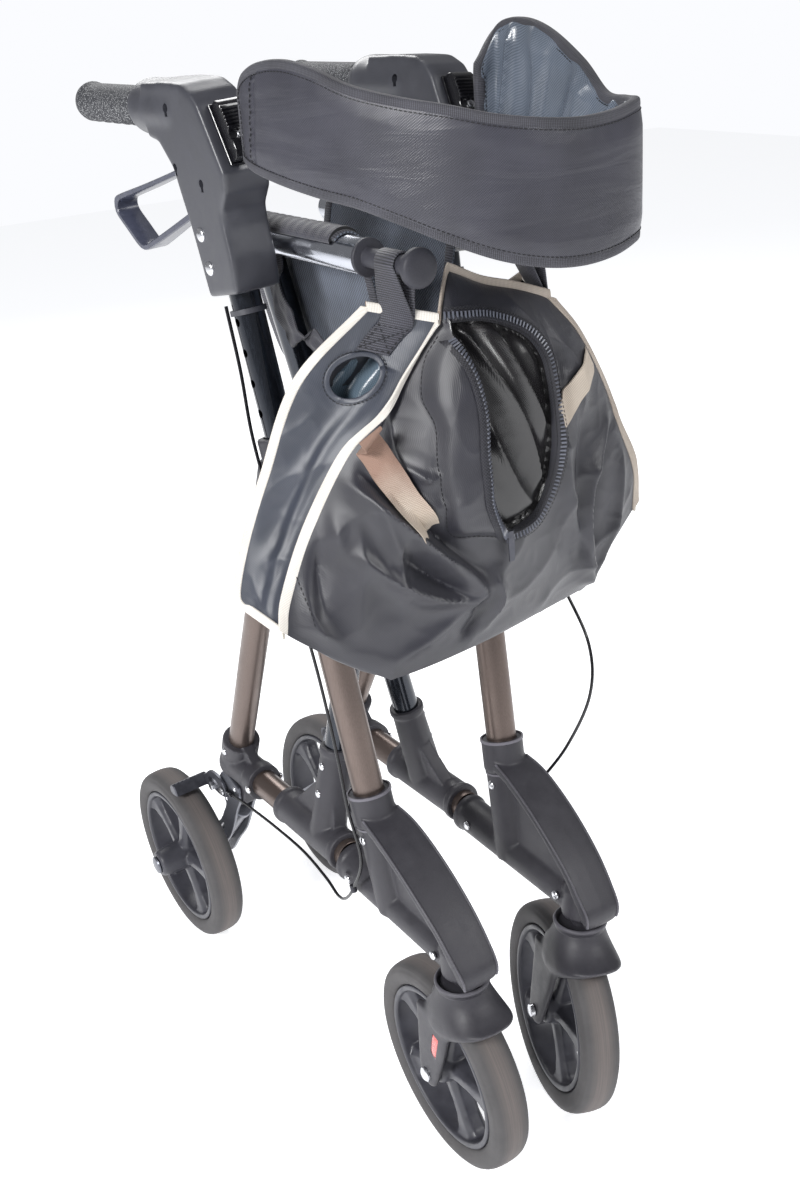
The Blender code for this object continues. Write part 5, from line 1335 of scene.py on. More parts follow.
def flat_sweep(places, outs, insides, across, inward, drop=0.0):
    """A soft flat band along an edge: half its thickness, its reach inward, and a rounded back."""
    rows = []
    for place, out, inside in zip(places, outs, insides):
        row = []
        for step in range(16):
            turn = math.tau * step / 16
            a, b = math.cos(turn), math.sin(turn)
            a = math.copysign(abs(a) ** 0.6, a) * across
            b = math.copysign(abs(b) ** 0.6, b) * inward / 2 + inward / 2 - drop
            row.append(place + out * a + inside * b)
        rows.append(row)
    return skin(rows)


# polyester seat mesh: threads are 0.6 mm apart, drawn at 1.6 mm so that they show
seat_mesh = start_cloth(
    "grey_polyester_mesh", "#25282e", "#737b8a", 0.0016, 0.0016, 0.0006, 0.7, Sheen_Weight=0.15
)
# binding tape: a ribbed black polyester grosgrain, ribs 0.8 mm, drawn at 1.3 mm
tape = start_cloth(
    "black_grosgrain_tape", "#151518", "#4f4f58", 0.0013, 0.0012, 0.0004, 0.68, True, Sheen_Weight=0.1
)
# heavy black polypropylene webbing: ribs 1.4 mm, drawn at 2 mm
webbing = start_cloth(
    "black_polypropylene_webbing", "#0d0d10", "#52525c", 0.002, 0.0016, 0.0007, 0.58, True, Sheen_Weight=0.1
)

SEAT_FRONT, SEAT_REAR = -0.286, -0.085
hang = []
for degrees in range(45, 170, 8):
    turn = math.radians(degrees)
    hang.append(Vector((RAIL.x + 0.0152 * math.cos(turn), RAIL.z + 0.0152 * math.sin(turn))))
for drop, clear in ((0.014, 0.0026), (0.042, 0.0019), (0.077, 0.0016), (0.114, 0.0039)):
    sign, foot, head, along = leg_line("a")
    leg_x = head.x - drop * along.x / along.z
    hang.append(Vector((leg_x - 0.0125 / along.z - clear, RAIL.z - drop)))
hang += [Vector((0.007, RAIL.z - 0.1285)), Vector((0.0, RAIL.z - 0.1315))]
hang = curve_through(hang, 110)
hang[-1].x = 0.0
seat_half = sum((after - before).length for before, after in zip(hang, hang[1:]))


def round_rail(rail_side, reach, turn, y):
    """A point beside a seat rail: how far from its axis, and at what turn from outboard."""
    return Vector((rail_side * (RAIL.x + reach * math.cos(turn)), y, RAIL.z + reach * math.sin(turn)))


for rail_side, far_body, near_body in ((-1, "left_frame", "brace_b"), (1, "right_frame", "brace_a")):
    rows = []
    for index, p in enumerate(hang):
        way = way_at(hang, index).normalized()
        normal = Vector((way.y, -way.x))
        row = []
        for lift, steps in ((0.0007, range(101)), (-0.0007, range(100, -1, -1))):
            for step in steps:
                y = SEAT_FRONT + (SEAT_REAR - SEAT_FRONT) * step / 100
                free = min(max((index - 18) / 30, 0.0), 1.0) * min((len(hang) - index) / 24, 1.0)
                sag = free * 0.0011 * noise.noise(Vector((p.x * 30, y * 22, p.y * 18 + rail_side)))
                spot = p + normal * (lift + sag)
                row.append(Vector((rail_side * max(spot.x, 0.0), y, spot.y)))
        rows.append(row)
    cloth = skin(rows)
    cloth.transform(MIDDLE)
    which = "left" if rail_side > 0 else "right"
    end = (rail_side * 0.05, -0.18 + CENTRE, 0.74)
    seat = fit(f"seat_mesh_{which}", cloth, seat_mesh, None, ["seat_sling"], sharp=60)
    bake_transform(seat)
    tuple(end)
    faces = []
    # bound front and rear ends, 11 mm of webbing folded over the mesh
    for y, inside in ((SEAT_FRONT, 1.0), (SEAT_REAR, -1.0)):
        places, outs, insides = [], [], []
        for index, p in enumerate(hang):
            way = way_at(hang, index).normalized()
            places.append(Vector((rail_side * max(p.x, 0.0), y, p.y)))
            outs.append(Vector((rail_side * way.y, 0.0, -way.x)))
            insides.append(Vector((0.0, inside, 0.0)))
        faces.append((flat_sweep(places, outs, insides, 0.0017, 0.011), webbing))
    # the padded band over the rail, quilted across at 12 mm
    rows = []
    for step in range(161):
        y = SEAT_FRONT + 0.004 + (SEAT_REAR - SEAT_FRONT - 0.008) * step / 160
        dent = 0.0004 * math.sin(math.tau * step / 160 * 0.193 / 0.012)
        row = []
        for at in range(19):
            turn = math.radians(32 + 108 * at / 18)
            round_off = math.sin(math.pi * at / 18) ** 0.35
            reach = 0.0155 + (0.0036 + dent) * round_off
            row.append(round_rail(rail_side, reach, turn, y))
        for at in range(18, -1, -1):
            turn = math.radians(32 + 108 * at / 18)
            row.append(round_rail(rail_side, 0.0153, turn, y))
        rows.append(row)
    faces.append((skin(rows), webbing))
    half = several(faces)
    half.transform(MIDDLE)
    trim = fit(f"seat_trim_{which}", half, None, None, ["seat_sling"], sharp=60)
    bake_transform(trim)
    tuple(end)
    size = (SEAT_REAR - SEAT_FRONT, seat_half)

# the pull strap: a doubled, crumpled length of soft black tape hanging under the near rail
path = [(-0.064, -0.18, 0.808), (-0.0675, -0.184, 0.78), (-0.0655, -0.196, 0.756), (-0.068, -0.212, 0.744)]
path += [(-0.0655, -0.228, 0.752), (-0.068, -0.246, 0.746), (-0.0645, -0.264, 0.733)]
rows = []
for index, p in enumerate(curve_through([Vector(p) for p in path], 90)):
    broad = 0.015 + 0.003 * noise.noise(Vector((index * 0.15, 2.0, 0.0)))
    turn = 0.5 + 0.9 * noise.noise(Vector((index * 0.08, 9.0, 4.0)))
    way = Vector((0.15 * math.sin(turn * 3), math.cos(turn), -math.sin(turn)))
    row = []
    for lift, order in ((0.0007, range(13)), (-0.0007, range(12, -1, -1))):
        for at in order:
            a = at / 6 - 1
            crumple = 0.0035 * noise.noise(Vector((index * 0.11, a * 1.6, 12.0))) * (1 - 0.4 * a * a)
            row.append(p + way * broad * a + Vector((crumple + lift, 0, 0)))
    rows.append(row)
fit("pull_strap", skin(rows), tape, "brace_b", place=MIDDLE, sharp=60)

# The backrest. A foam strip covered in black satin nylon, lined in grey, its edges bound with
# ribbed tape and stitched, held by the clips on both housings and bent round in front.
SEWN = [
    (-0.1059, -0.2334, 0.892, 0.94),
    (-0.1085, -0.248, 0.887, 0.952),
    (-0.1075, -0.27, 0.882, 0.959),
    (-0.103, -0.297, 0.8765, 0.96),
    (-0.0955, -0.325, 0.871, 0.9535),
    (-0.086, -0.353, 0.866, 0.943),
    (-0.07, -0.385, 0.855, 0.935),
    (-0.05, -0.413, 0.842, 0.929),
    (-0.025, -0.433, 0.83, 0.9215),
    (0.005, -0.443, 0.822, 0.9165),
    (0.035, -0.446, 0.819, 0.914),
    (0.065, -0.443, 0.8205, 0.915),
    (0.09, -0.434, 0.824, 0.918),
    (0.109, -0.418, 0.825, 0.919),
    (0.1215, -0.393, 0.829, 0.918),
    (0.128, -0.365, 0.835, 0.92),
    (0.131, -0.335, 0.844, 0.942),
    (0.1318, -0.295, 0.858, 0.964),
    (0.13, -0.262, 0.874, 0.972),
    (0.123, -0.24, 0.886, 0.966),
    (0.1059, -0.2345, 0.896, 0.94),
]
LONG, TALL = 300, 40
sewn = curve_through([Vector(p) for p in SEWN], LONG + 1)
outs = []
for index, p in enumerate(sewn):
    x, y = way_at(sewn, index)[:2]
    outs.append(Vector((y, -x, 0.0)).normalized())
strap_run = [0.0]
for before, after in zip(sewn, sewn[1:]):
    strap_run.append(strap_run[-1] + math.hypot(after[0] - before[0], after[1] - before[1]))


def on_strap(index, share, lift):
    """A point on the backrest: how far along and up it is, and how far from its middle layer."""
    p = sewn[index]
    return Vector((p[0], p[1], p[2] + (p[3] - p[2]) * share)) + outs[index] * lift


def strap_face(sign):
    rows = []
    for index in range(LONG + 1):
        run = strap_run[index]
        tall = sewn[index][3] - sewn[index][2]
        row = []
        for at in range(TALL + 1):
            share = at / TALL
            border = min(share, 1 - share) * tall
            end = min(run, strap_run[-1] - run)
            fill = min(1.0, border / 0.016) ** 0.5 * min(1.0, end / 0.02) ** 0.5
            lift = 0.0022 + 0.0034 * fill
            pucker = noise.noise(Vector((run * 95, sign * 3.0, share * 2)))
            pucker *= math.exp(-(((border - 0.01) / 0.007) ** 2))
            broad = noise.noise(Vector((run * 16, share * 2.4, sign * 7.0)))
            lift += 0.0005 * pucker * fill + 0.0008 * broad * fill
            if sign < 0:
                ridges = 1 - abs(noise.noise(Vector((run * 38 + share * 1.5, share * 0.8, 5.0)))) * 2
                lift += 0.0068 * fill * max(ridges, 0.0) ** 2
            if sign > 0:
                lift -= 0.0016 * math.exp(-(((run - 0.021 - 0.012 * share) / 0.0016) ** 2))
            row.append(on_strap(index, share, sign * lift))
        rows.append(row)
    return rows


outer_rows, lining_rows = strap_face(1.0), strap_face(-1.0)
edge = [(i, 0.0) for i in range(LONG + 1)]
edge += [(LONG, at / TALL) for at in range(2, TALL, 2)]
edge += [(i, 1.0) for i in range(LONG, -1, -1)]
edge += [(0, at / TALL) for at in range(TALL - 2, 0, -2)]
edge_places, edge_outs, edge_insides = [], [], []
for at, (index, share) in enumerate(edge):
    edge_places.append(on_strap(index, share, 0.0))
    edge_outs.append(outs[index])
    inside = Vector((0, 0, 0))
    for other in range(at - 4, at + 5):
        i, s = edge[other % len(edge)]
        tangent = outs[i].cross(Vector((0, 0, 1)))
        if 0.0 < s < 1.0:
            inside += -tangent if i == 0 else tangent
        else:
            inside += Vector((0, 0, 1 - 2 * s))
    edge_insides.append(inside.normalized())

# satin nylon cover: a tight twill with a soft sheen; threads of 0.25 mm, drawn at 0.9 mm
satin = start_cloth(
    "black_satin_nylon", "#2a2a30", "#45454f", 0.0009, 0.0009, 0.00018, 0.33, Sheen_Weight=0.08,
    Sheen_Roughness=0.35
)
# coated grey lining: thin, glossy and creased
lining = start_cloth(
    "grey_coated_lining", "#434a54", "#747d8b", 0.0011, 0.0011, 0.00012, 0.24, Coat_Weight=0.35,
    Coat_Roughness=0.2
)
# the satin lies in faint long ripples
ripple = cloudy(satin, 1.0, 3.0, stretch=(9.0, 9.0, 55.0), distortion=0.8)
emboss(satin, ripple, 0.35, 0.003)
# sewing thread: twisted black polyester
thread = start_finish("black_sewing_thread", "#17171b", 0.6)
emboss(thread, cloudy(thread, 2500.0), 0.3, 0.0002)

# stitches: short rods laid along the seam, each turned to follow it
stitch_tree, given, result = start_tree(
    "stitches",
    [
        ("Stitch length", "NodeSocketFloat"), ("Thread radius", "NodeSocketFloat"),
        ("Thread", "NodeSocketMaterial")
    ]
)
stick = add_node(
    stitch_tree, "GeometryNodeMeshCylinder",
    {"Vertices": 5, "Radius": given.outputs[2], "Depth": given.outputs[1]}
)
finish_tree(stitch_tree, given, result, stick)


def with_map(mesh):
    """The mesh, given an empty cloth map where it has none."""
    if "cloth" not in mesh.uv_layers:
        mesh.uv_layers.new(name="cloth")
    return mesh


def sew(line, length, radius, finish, gap=1.6):
    """Stitches along a line of points, as one mesh."""
    run = sum((b - a).length for a, b in zip(line, line[1:]))
    spots = curve_through(line, max(int(run / (length * gap)), 3))
    ways = [way_at(spots, at).normalized() for at in range(len(spots))]
    sizes = {"Stitch length": length, "Thread radius": radius, "Thread": finish}
    return with_map(grow("stitches", stitch_tree, spots, ways, sizes))


for part, low, high, ends, body_a, body_b in (
    ("right", 0, 108, ((-0.1065, -0.255), (-0.064, -0.385)), "right_handle", "right_frame"),
    ("middle", 108, 204, ((-0.045, -0.415), (0.102, -0.415)), "right_frame", "left_frame"),
    ("left", 204, LONG, ((0.123, -0.388), (0.131, -0.262)), "left_frame", "left_handle"),
):
    pieces_here = [
        (skin(outer_rows[low : high + 1], around=False), satin),
        (skin(lining_rows[low : high + 1], around=False), lining),
    ]
    inside_part = [low <= i <= high for i, s in edge]
    runs, current = [], []
    for at, here in enumerate(inside_part):
        if here:
            current.append(at)
        elif current:
            runs.append(current)
            current = []
    if current:
        if runs and runs[0][0] == 0:
            runs[0] = current + runs[0]
        else:
            runs.append(current)
    for run_here in runs:
        places = [edge_places[at] for at in run_here]
        out_here = [edge_outs[at] for at in run_here]
        in_here = [edge_insides[at] for at in run_here]
        pieces_here.append((flat_sweep(places, out_here, in_here, 0.0042, 0.0088, 0.0022), tape))
        for sign in (1, -1):
            seam = [p + o * (0.0044 * sign) + n * 0.0056 for p, o, n in zip(places, out_here, in_here)][::4]
            pieces_here.append((sew(seam, 0.0022, 0.00042, thread), thread))
    if part == "right":
        seam = [
            outer_rows[round(LONG * (0.021 + 0.012 * s) / strap_run[-1])][round(TALL * s)] + outs[20] * 0.0008
            for s in np.linspace(0.1, 0.9, 12)
        ]
        pieces_here.append((sew(seam, 0.0022, 0.00042, thread), thread))
    mesh = several(pieces_here)
    mesh.transform(MIDDLE)
    made = fit(f"backrest_{part}", mesh, None, None, ["backrest_strap"], sharp=60)
    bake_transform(made)

# The shopping bag. Coated black nylon, lofted from two gussets, a bulging front and a back, its
# edges bound in off-white tape. It hangs by webbing loops from the pegs of both seat rails.
NEAR_REAR = [(-0.072, -0.33, 0.79), (-0.119, -0.3, 0.737), (-0.148, -0.288, 0.668)]
NEAR_REAR += [(-0.165, -0.28, 0.62), (-0.179, -0.28, 0.578), (-0.176, -0.285, 0.566)]
NEAR_FRONT = [
    (-0.029, -0.36, 0.778), (-0.052, -0.35, 0.742), (-0.073, -0.345, 0.712), (-0.102, -0.333, 0.685)
]
NEAR_FRONT += [(-0.134, -0.322, 0.629), (-0.16, -0.325, 0.58), (-0.168, -0.33, 0.556)]
FAR_FRONT = [(0.083, -0.35, 0.774), (0.111, -0.35, 0.7425), (0.14, -0.345, 0.6975)]
FAR_FRONT += [(0.161, -0.342, 0.652), (0.184, -0.335, 0.609), (0.194, -0.325, 0.566)]
FAR_REAR = [(0.086, -0.312, 0.785), (0.119, -0.3, 0.737), (0.148, -0.288, 0.668)]
FAR_REAR += [(0.165, -0.28, 0.62), (0.182, -0.28, 0.585), (0.186, -0.285, 0.566)]
TOP_FRONT = [NEAR_FRONT[0], (-0.019, -0.352, 0.7945), (-0.01, -0.346, 0.807), (-0.004, -0.345, 0.8065)]
TOP_FRONT += [(0.0222, -0.345, 0.794), (0.0528, -0.348, 0.785), FAR_FRONT[0]]
LOW_FRONT = [NEAR_FRONT[-1], (-0.138, -0.345, 0.5315), (-0.098, -0.36, 0.5055), (-0.09, -0.362, 0.5035)]
LOW_FRONT += [(-0.05, -0.365, 0.506), (0.004, -0.365, 0.511), (0.0645, -0.35, 0.51)]
LOW_FRONT += [(0.119, -0.333, 0.507), (0.1298, -0.33, 0.5066), (0.138, -0.3295, 0.513), FAR_FRONT[-1]]
TOP_REAR = [NEAR_REAR[0], (-0.036, -0.318, 0.77), (0.004, -0.312, 0.762), (0.046, -0.312, 0.77), FAR_REAR[0]]
LOW_REAR = [NEAR_REAR[-1], (-0.15, -0.287, 0.545), (-0.1, -0.29, 0.512), (0.0, -0.292, 0.508)]
LOW_REAR += [(0.11, -0.29, 0.51), (0.158, -0.287, 0.545), FAR_REAR[-1]]
WIDE, HIGH, DEEP = 190, 150, 26


def as_grid(points, count):
    return np.array([tuple(p) for p in curve_through(points, count + 1)])


def patch(left, right, top, bottom):
    """A sheet of points between four edges; rows run downward."""
    u = np.linspace(0, 1, len(top))[None, :, None]
    v = np.linspace(0, 1, len(left))[:, None, None]
    flat = (1 - u) * left[:, None] + u * right[:, None] + (1 - v) * top[None] + v * bottom[None]
    corners = (
        (1 - u) * (1 - v) * top[0] + u * (1 - v) * top[-1] + (1 - u) * v * bottom[0] + u * v * bottom[-1]
    )
    return flat - corners


def to_line(points, line):
    """How far each (x, z) point is from a line of points, and how far along it."""
    best = np.full(points.shape[:-1], 9.0)
    along = np.zeros(points.shape[:-1])
    line = np.array(line, float)
    runs = np.concatenate([[0], np.cumsum(np.linalg.norm(line[1:] - line[:-1], axis=1))])
    for at, (a, b) in enumerate(zip(line[:-1], line[1:])):
        way = b - a
        t = np.clip(((points - a) @ way) / max(way @ way, 1e-12), 0, 1)
        gap = np.linalg.norm(points - a - t[..., None] * way, axis=-1)
        closer = gap < best
        best = np.where(closer, gap, best)
        along = np.where(closer, (runs[at] + t * np.linalg.norm(way)) / runs[-1], along)
    return best, along


def inside(points, outline):
    """The depth of each (x, z) point inside an outline, below nothing outside it."""
    loop = [*outline, outline[0]]
    gap, _ = to_line(points, loop)
    crossings = np.zeros(points.shape[:-1], bool)
    for (ax, az), (bx, bz) in zip(loop[:-1], loop[1:]):
        straddles = (az > points[..., 1]) != (bz > points[..., 1])
        meet = ax + (points[..., 1] - az) * (bx - ax) / (bz - az if bz != az else 1e-9)
        crossings ^= straddles & (points[..., 0] < meet)
    return np.where(crossings, gap, -gap)


def ease_in(value, width):
    t = np.clip(value / width, 0, 1)
    return t * t * (3 - 2 * t)


def creases(points, scale, seed):
    """Sharp little ridges, as in crumpled coated cloth: 0 in the valleys, 1 on the ridges."""
    slanted = np.array([[0.8, 0.2, 0.56], [-0.2, 0.97, -0.06], [-0.56, -0.06, 0.82]])
    flat = points.reshape(-1, 3) @ slanted.T
    values = [1 - min(abs(noise.noise(Vector(p) * scale + Vector((seed, 0, 0)))) * 2.4, 1.0) for p in flat]
    return np.array(values).reshape(points.shape[:-1])


def flat_xz(line, count=60):
    return [(p[0], p[1]) for p in curve_through([Vector((x, z)) for x, z in line], count)]


ZIP_OUTER = flat_xz([(-0.025, 0.78), (0.0064, 0.7767), (0.0392, 0.7623), (0.056, 0.7418), (0.059, 0.7153),
                     (0.058, 0.6764), (0.0525, 0.6422), (0.035, 0.6135), (0.004, 0.605)], 90)
ZIP_INNER = flat_xz([(-0.0266, 0.7638), (-0.0189, 0.7401), (-0.017, 0.7096), (-0.0191, 0.6763),
                     (-0.0178, 0.6442), (-0.0076, 0.6182), (0.004, 0.605)], 70)
POCKET_EDGE = flat_xz([(0.004, 0.605), (-0.02, 0.612), (-0.0426, 0.6172), (-0.0485, 0.6429), (-0.05, 0.6735),
                       (-0.0472, 0.7016), (-0.049, 0.7238), (-0.04, 0.751), (-0.0276, 0.77)], 50)
MOUTH = ZIP_OUTER + ZIP_INNER[::-1]
POCKET = ZIP_OUTER + POCKET_EDGE
FOLDS = [
    (0.0105, 0.0085, [(-0.1096, 0.6676), (-0.0875, 0.6412), (-0.0603, 0.611), (-0.0283, 0.5711)]),
    (-0.008, 0.007, [(-0.093, 0.669), (-0.072, 0.64), (-0.045, 0.608), (-0.025, 0.586)]),
    (0.006, 0.006, [(-0.0982, 0.6544), (-0.0843, 0.6097), (-0.084, 0.5893)]),
    (0.008, 0.007, [(-0.1091, 0.6096), (-0.0915, 0.5899), (-0.0595, 0.5696), (-0.0275, 0.5592)]),
    (-0.006, 0.006, [(-0.08, 0.605), (-0.056, 0.583), (-0.032, 0.564)]),
    (0.007, 0.0055, [(-0.0593, 0.6098), (-0.037, 0.5913), (-0.0199, 0.5669), (-0.0257, 0.5561)]),
    (0.0065, 0.007, [(-0.0056, 0.574), (-0.0013, 0.5539), (-0.0097, 0.5313)]),
    (-0.0055, 0.006, [(-0.023, 0.556), (-0.018, 0.542), (-0.03, 0.525)]),
    (0.004, 0.007, [(-0.027, 0.556), (-0.056, 0.536), (-0.09, 0.52)]),
    (0.0085, 0.009, [(0.1298, 0.5066), (0.104, 0.5648), (0.1042, 0.6194), (0.1328, 0.6634)]),
    (0.007, 0.011, [(0.1298, 0.5066), (0.0766, 0.6115), (0.064, 0.6796)]),
    (-0.008, 0.009, [(0.12, 0.54), (0.122, 0.62), (0.148, 0.66)]),
    (-0.006, 0.009, [(0.096, 0.55), (0.088, 0.615), (0.096, 0.68)]),
    (0.006, 0.007, [(0.1298, 0.5066), (0.152, 0.57), (0.158, 0.63)]),
    (0.0045, 0.006, [(-0.1099, 0.6704), (-0.1199, 0.6428), (-0.1197, 0.6121)]),
    (-0.0045, 0.006, [(-0.1286, 0.6262), (-0.133, 0.595), (-0.1361, 0.57)]),
    (0.0045, 0.007, [(-0.147, 0.599), (-0.148, 0.57), (-0.14, 0.545)]),
    (0.004, 0.008, [(-0.105, 0.65), (-0.108, 0.6), (-0.115, 0.55)]),
    (-0.012, 0.012, [(-0.042, 0.765), (-0.06, 0.725), (-0.068, 0.685), (-0.064, 0.655)]),
    (0.005, 0.005, [(-0.07, 0.675), (-0.058, 0.664), (-0.05, 0.666)]),
    (-0.005, 0.006, [(0.062, 0.76), (0.074, 0.73), (0.07, 0.69)]),
]

near_front, far_front = as_grid(NEAR_FRONT, HIGH), as_grid(FAR_FRONT, HIGH)
near_rear, far_rear = as_grid(NEAR_REAR, HIGH), as_grid(FAR_REAR, HIGH)
top_front, low_front = as_grid(TOP_FRONT, WIDE), as_grid(LOW_FRONT, WIDE)
top_rear, low_rear = as_grid(TOP_REAR, WIDE), as_grid(LOW_REAR, WIDE)

front = patch(near_front, far_front, top_front, low_front)
u, v = np.meshgrid(np.linspace(0, 1, WIDE + 1), np.linspace(0, 1, HIGH + 1))
bulge = 0.044 * np.sin(np.pi * u) ** 0.8 * np.sin(np.pi * v**0.85) ** 0.8
spots = front[..., [0, 2]]
rim_gap = np.minimum(np.minimum(u, 1 - u) * 0.3, np.minimum(v, 1 - v) * 0.27)
push = np.zeros_like(u)
for height, width, line in FOLDS:
    gap, along = to_line(spots, flat_xz(line, 24))
    push += height * np.exp(-((gap / width) ** 1.35)) * np.sin(
        np.pi * np.clip(along * 0.86 + 0.07, 0, 1)
    ) ** 0.6
mouth, pocket = inside(spots, MOUTH), inside(spots, POCKET)
push *= 1.55
push += 0.0032 * creases(front, 15.0, 3.0) ** 2 + 0.0005 * creases(front, 50.0, 8.0) ** 2
edge_gap, _ = to_line(spots, POCKET_EDGE)
# the lining hangs in long folds that lean a little to the right
spots_folded = np.stack(
    [spots[..., 0] * 34 + spots[..., 1] * 12, spots[..., 1] * 5, spots[..., 1] * 0], axis=-1
)
raised = 0.01 * ease_in(pocket + 0.001, 0.007) * (1 - 0.35 * ease_in(0.012 - edge_gap, 0.012))
sunk = 0.017 * ease_in(mouth - 0.0015, 0.006)
gathers = 0.0075 * creases(spots_folded, 1.0, 14.0) ** 2
push = push * (1 - 0.7 * ease_in(mouth, 0.004)) + gathers * ease_in(mouth - 0.004, 0.012)
front[..., 1] -= bulge + (push + raised - sunk) * ease_in(rim_gap, 0.016)

rear = patch(near_rear, far_rear, top_rear, low_rear)
rear[..., 1] += (0.003 * np.sin(np.pi * u) - 0.004 * creases(rear, 20.0, 21.0) ** 2) * ease_in(rim_gap, 0.02)


def gusset(rear_edge, front_edge, seed):
    share = np.linspace(0, 1, DEEP + 1)[None, :, None]
    face = rear_edge[:, None] * (1 - share) + front_edge[:, None] * share
    across = (front_edge - rear_edge)[:, None]
    down = np.gradient(face, axis=0)
    out = np.cross(across, down)
    out /= np.maximum(np.linalg.norm(out, axis=-1, keepdims=True), 1e-9)
    s, d = np.meshgrid(np.linspace(0, 1, DEEP + 1), np.linspace(0, 1, HIGH + 1))
    window = np.sin(np.pi * s) ** 0.7 * np.clip(np.minimum(d, 1 - d) / 0.05, 0, 1)
    dent = (
        -0.005 * np.sin(np.pi * s) + 0.0026 * creases(face, 17.0, seed) ** 2
        + 0.0004 * creases(face, 60.0, seed + 4) ** 2
    )
    dent += 0.003 * np.exp(-(((s - 0.8 + 0.2 * d) / 0.1) ** 2)) * (d > 0.18)
    sign = 1.0 if (out[HIGH // 2, DEEP // 2, 0] > 0) == (rear_edge[HIGH // 2, 0] > 0) else -1.0
    return face + out * (sign * dent * window)[..., None], out * sign


near_side, near_out = gusset(near_rear, near_front, 31.0)
far_side, far_out = gusset(far_rear, far_front, 37.0)
floor_share = np.linspace(0, 1, DEEP + 1)[:, None, None]
under = low_front[None] * (1 - floor_share) + low_rear[None] * floor_share
under[1:-1, :, 2] -= 0.002 * creases(under, 30.0, 41.0)[1:-1] ** 2 * np.clip(
    np.minimum(u[0], 1 - u[0]) / 0.05, 0, 1
)


def sheet_of(grid):
    return skin([[Vector(p) for p in row] for row in grid], around=False)


def on_front(x, z, lift):
    """The point on the bag's front at this x and z, lifted off the cloth."""
    hit = front_tree.ray_cast(Vector((x, -0.6, z)), Vector((0, 1, 0)))[0]
    return Vector((x, (hit.y if hit else -0.36) - lift, z))


front_mesh = sheet_of(front)
front_tree = BVHTree.FromPolygons(
    [v.co for v in front_mesh.vertices], [tuple(f.vertices) for f in front_mesh.polygons]
)

# coated nylon: 210 denier taffeta with a silky coating, almost black, cold where it shines;
# its threads are 0.2 mm, drawn at 0.8 mm, with hairline crinkles between the folds
bag_nylon = start_cloth(
    "black_coated_nylon", "#1a1a20", "#2e2e38", 0.0008, 0.0008, 0.00014, 0.4, Sheen_Weight=0.08,
    Specular_IOR_Level=0.7
)
gusset_nylon = start_cloth(
    "blue_black_coated_nylon", "#262a33", "#3b404e", 0.0008, 0.0008, 0.00014, 0.4, Sheen_Weight=0.06,
    Specular_IOR_Level=0.75
)
pocket_lining = start_cloth(
    "black_polyester_lining", "#0b0b0d", "#1b191b", 0.001, 0.001, 0.0001, 0.26, Specular_IOR_Level=0.8
)
for finish in (bag_nylon, gusset_nylon, pocket_lining):
    crinkle = cloudy(finish, 34.0, 3.0, distortion=0.4, noise_type="RIDGED_MULTIFRACTAL")
    emboss(finish, crinkle, 0.16, 0.001)
# binding: off-white ribbed tape, ribs 0.8 mm, drawn at 1.2 mm; a second copy is coloured greyer and browner
# as painted shade
pale_tape = start_cloth("off_white_binding_tape", "#c4beb4", "#f3efe9", 0.0012, 0.0012, 0.0003, 0.8, True)
shaded_tape = start_cloth("shade_painted_binding_tape", "#8b7d72", "#c9bfb3", 0.0012, 0.0012, 0.0003, 0.8, True)
handle_web = start_cloth("cream_webbing", "#a39383", "#d9cfc2", 0.0015, 0.0013, 0.0004, 0.8, True)
# the near handle is browner towards its upper end, where it leaves the seam, and cream below
top_browned_web = start_cloth("top_browned_cream_webbing", "#a39383", "#d9cfc2", 0.0015, 0.0013, 0.0004, 0.8, True)
tree = top_browned_web.node_tree
cream_tone = tree.nodes["Principled BSDF"].inputs["Base Color"].links[0].from_socket
where = add_node(tree, "ShaderNodeTexCoord").outputs["Object"]
level = add_node(tree, "ShaderNodeSeparateXYZ", {0: where}).outputs[2]
level = maths(tree, "MULTIPLY_ADD", cloudy(top_browned_web, 45.0, 3.0), 0.03, level)
browning_share = add_node(tree, "ShaderNodeMapRange", {0: level, 1: 0.65, 2: 0.69})
tint(top_browned_web, browning_share.outputs[0], cream_tone, "#94786a")
zip_tape = start_cloth("black_zip_tape", "#17171a", "#3a3a42", 0.0012, 0.0012, 0.0003, 0.65)
# zip coil: black nylon monofilament, glossy; its colour is a mid grey, a painted highlight on the black coil
highlit_coil = start_finish("zip_coil_painted_highlight", "#5f626d", 0.28, Specular_IOR_Level=0.6)
polish(highlit_coil, cloudy(highlit_coil, 900.0), 0.2, 0.45, 0.0, 1.0)


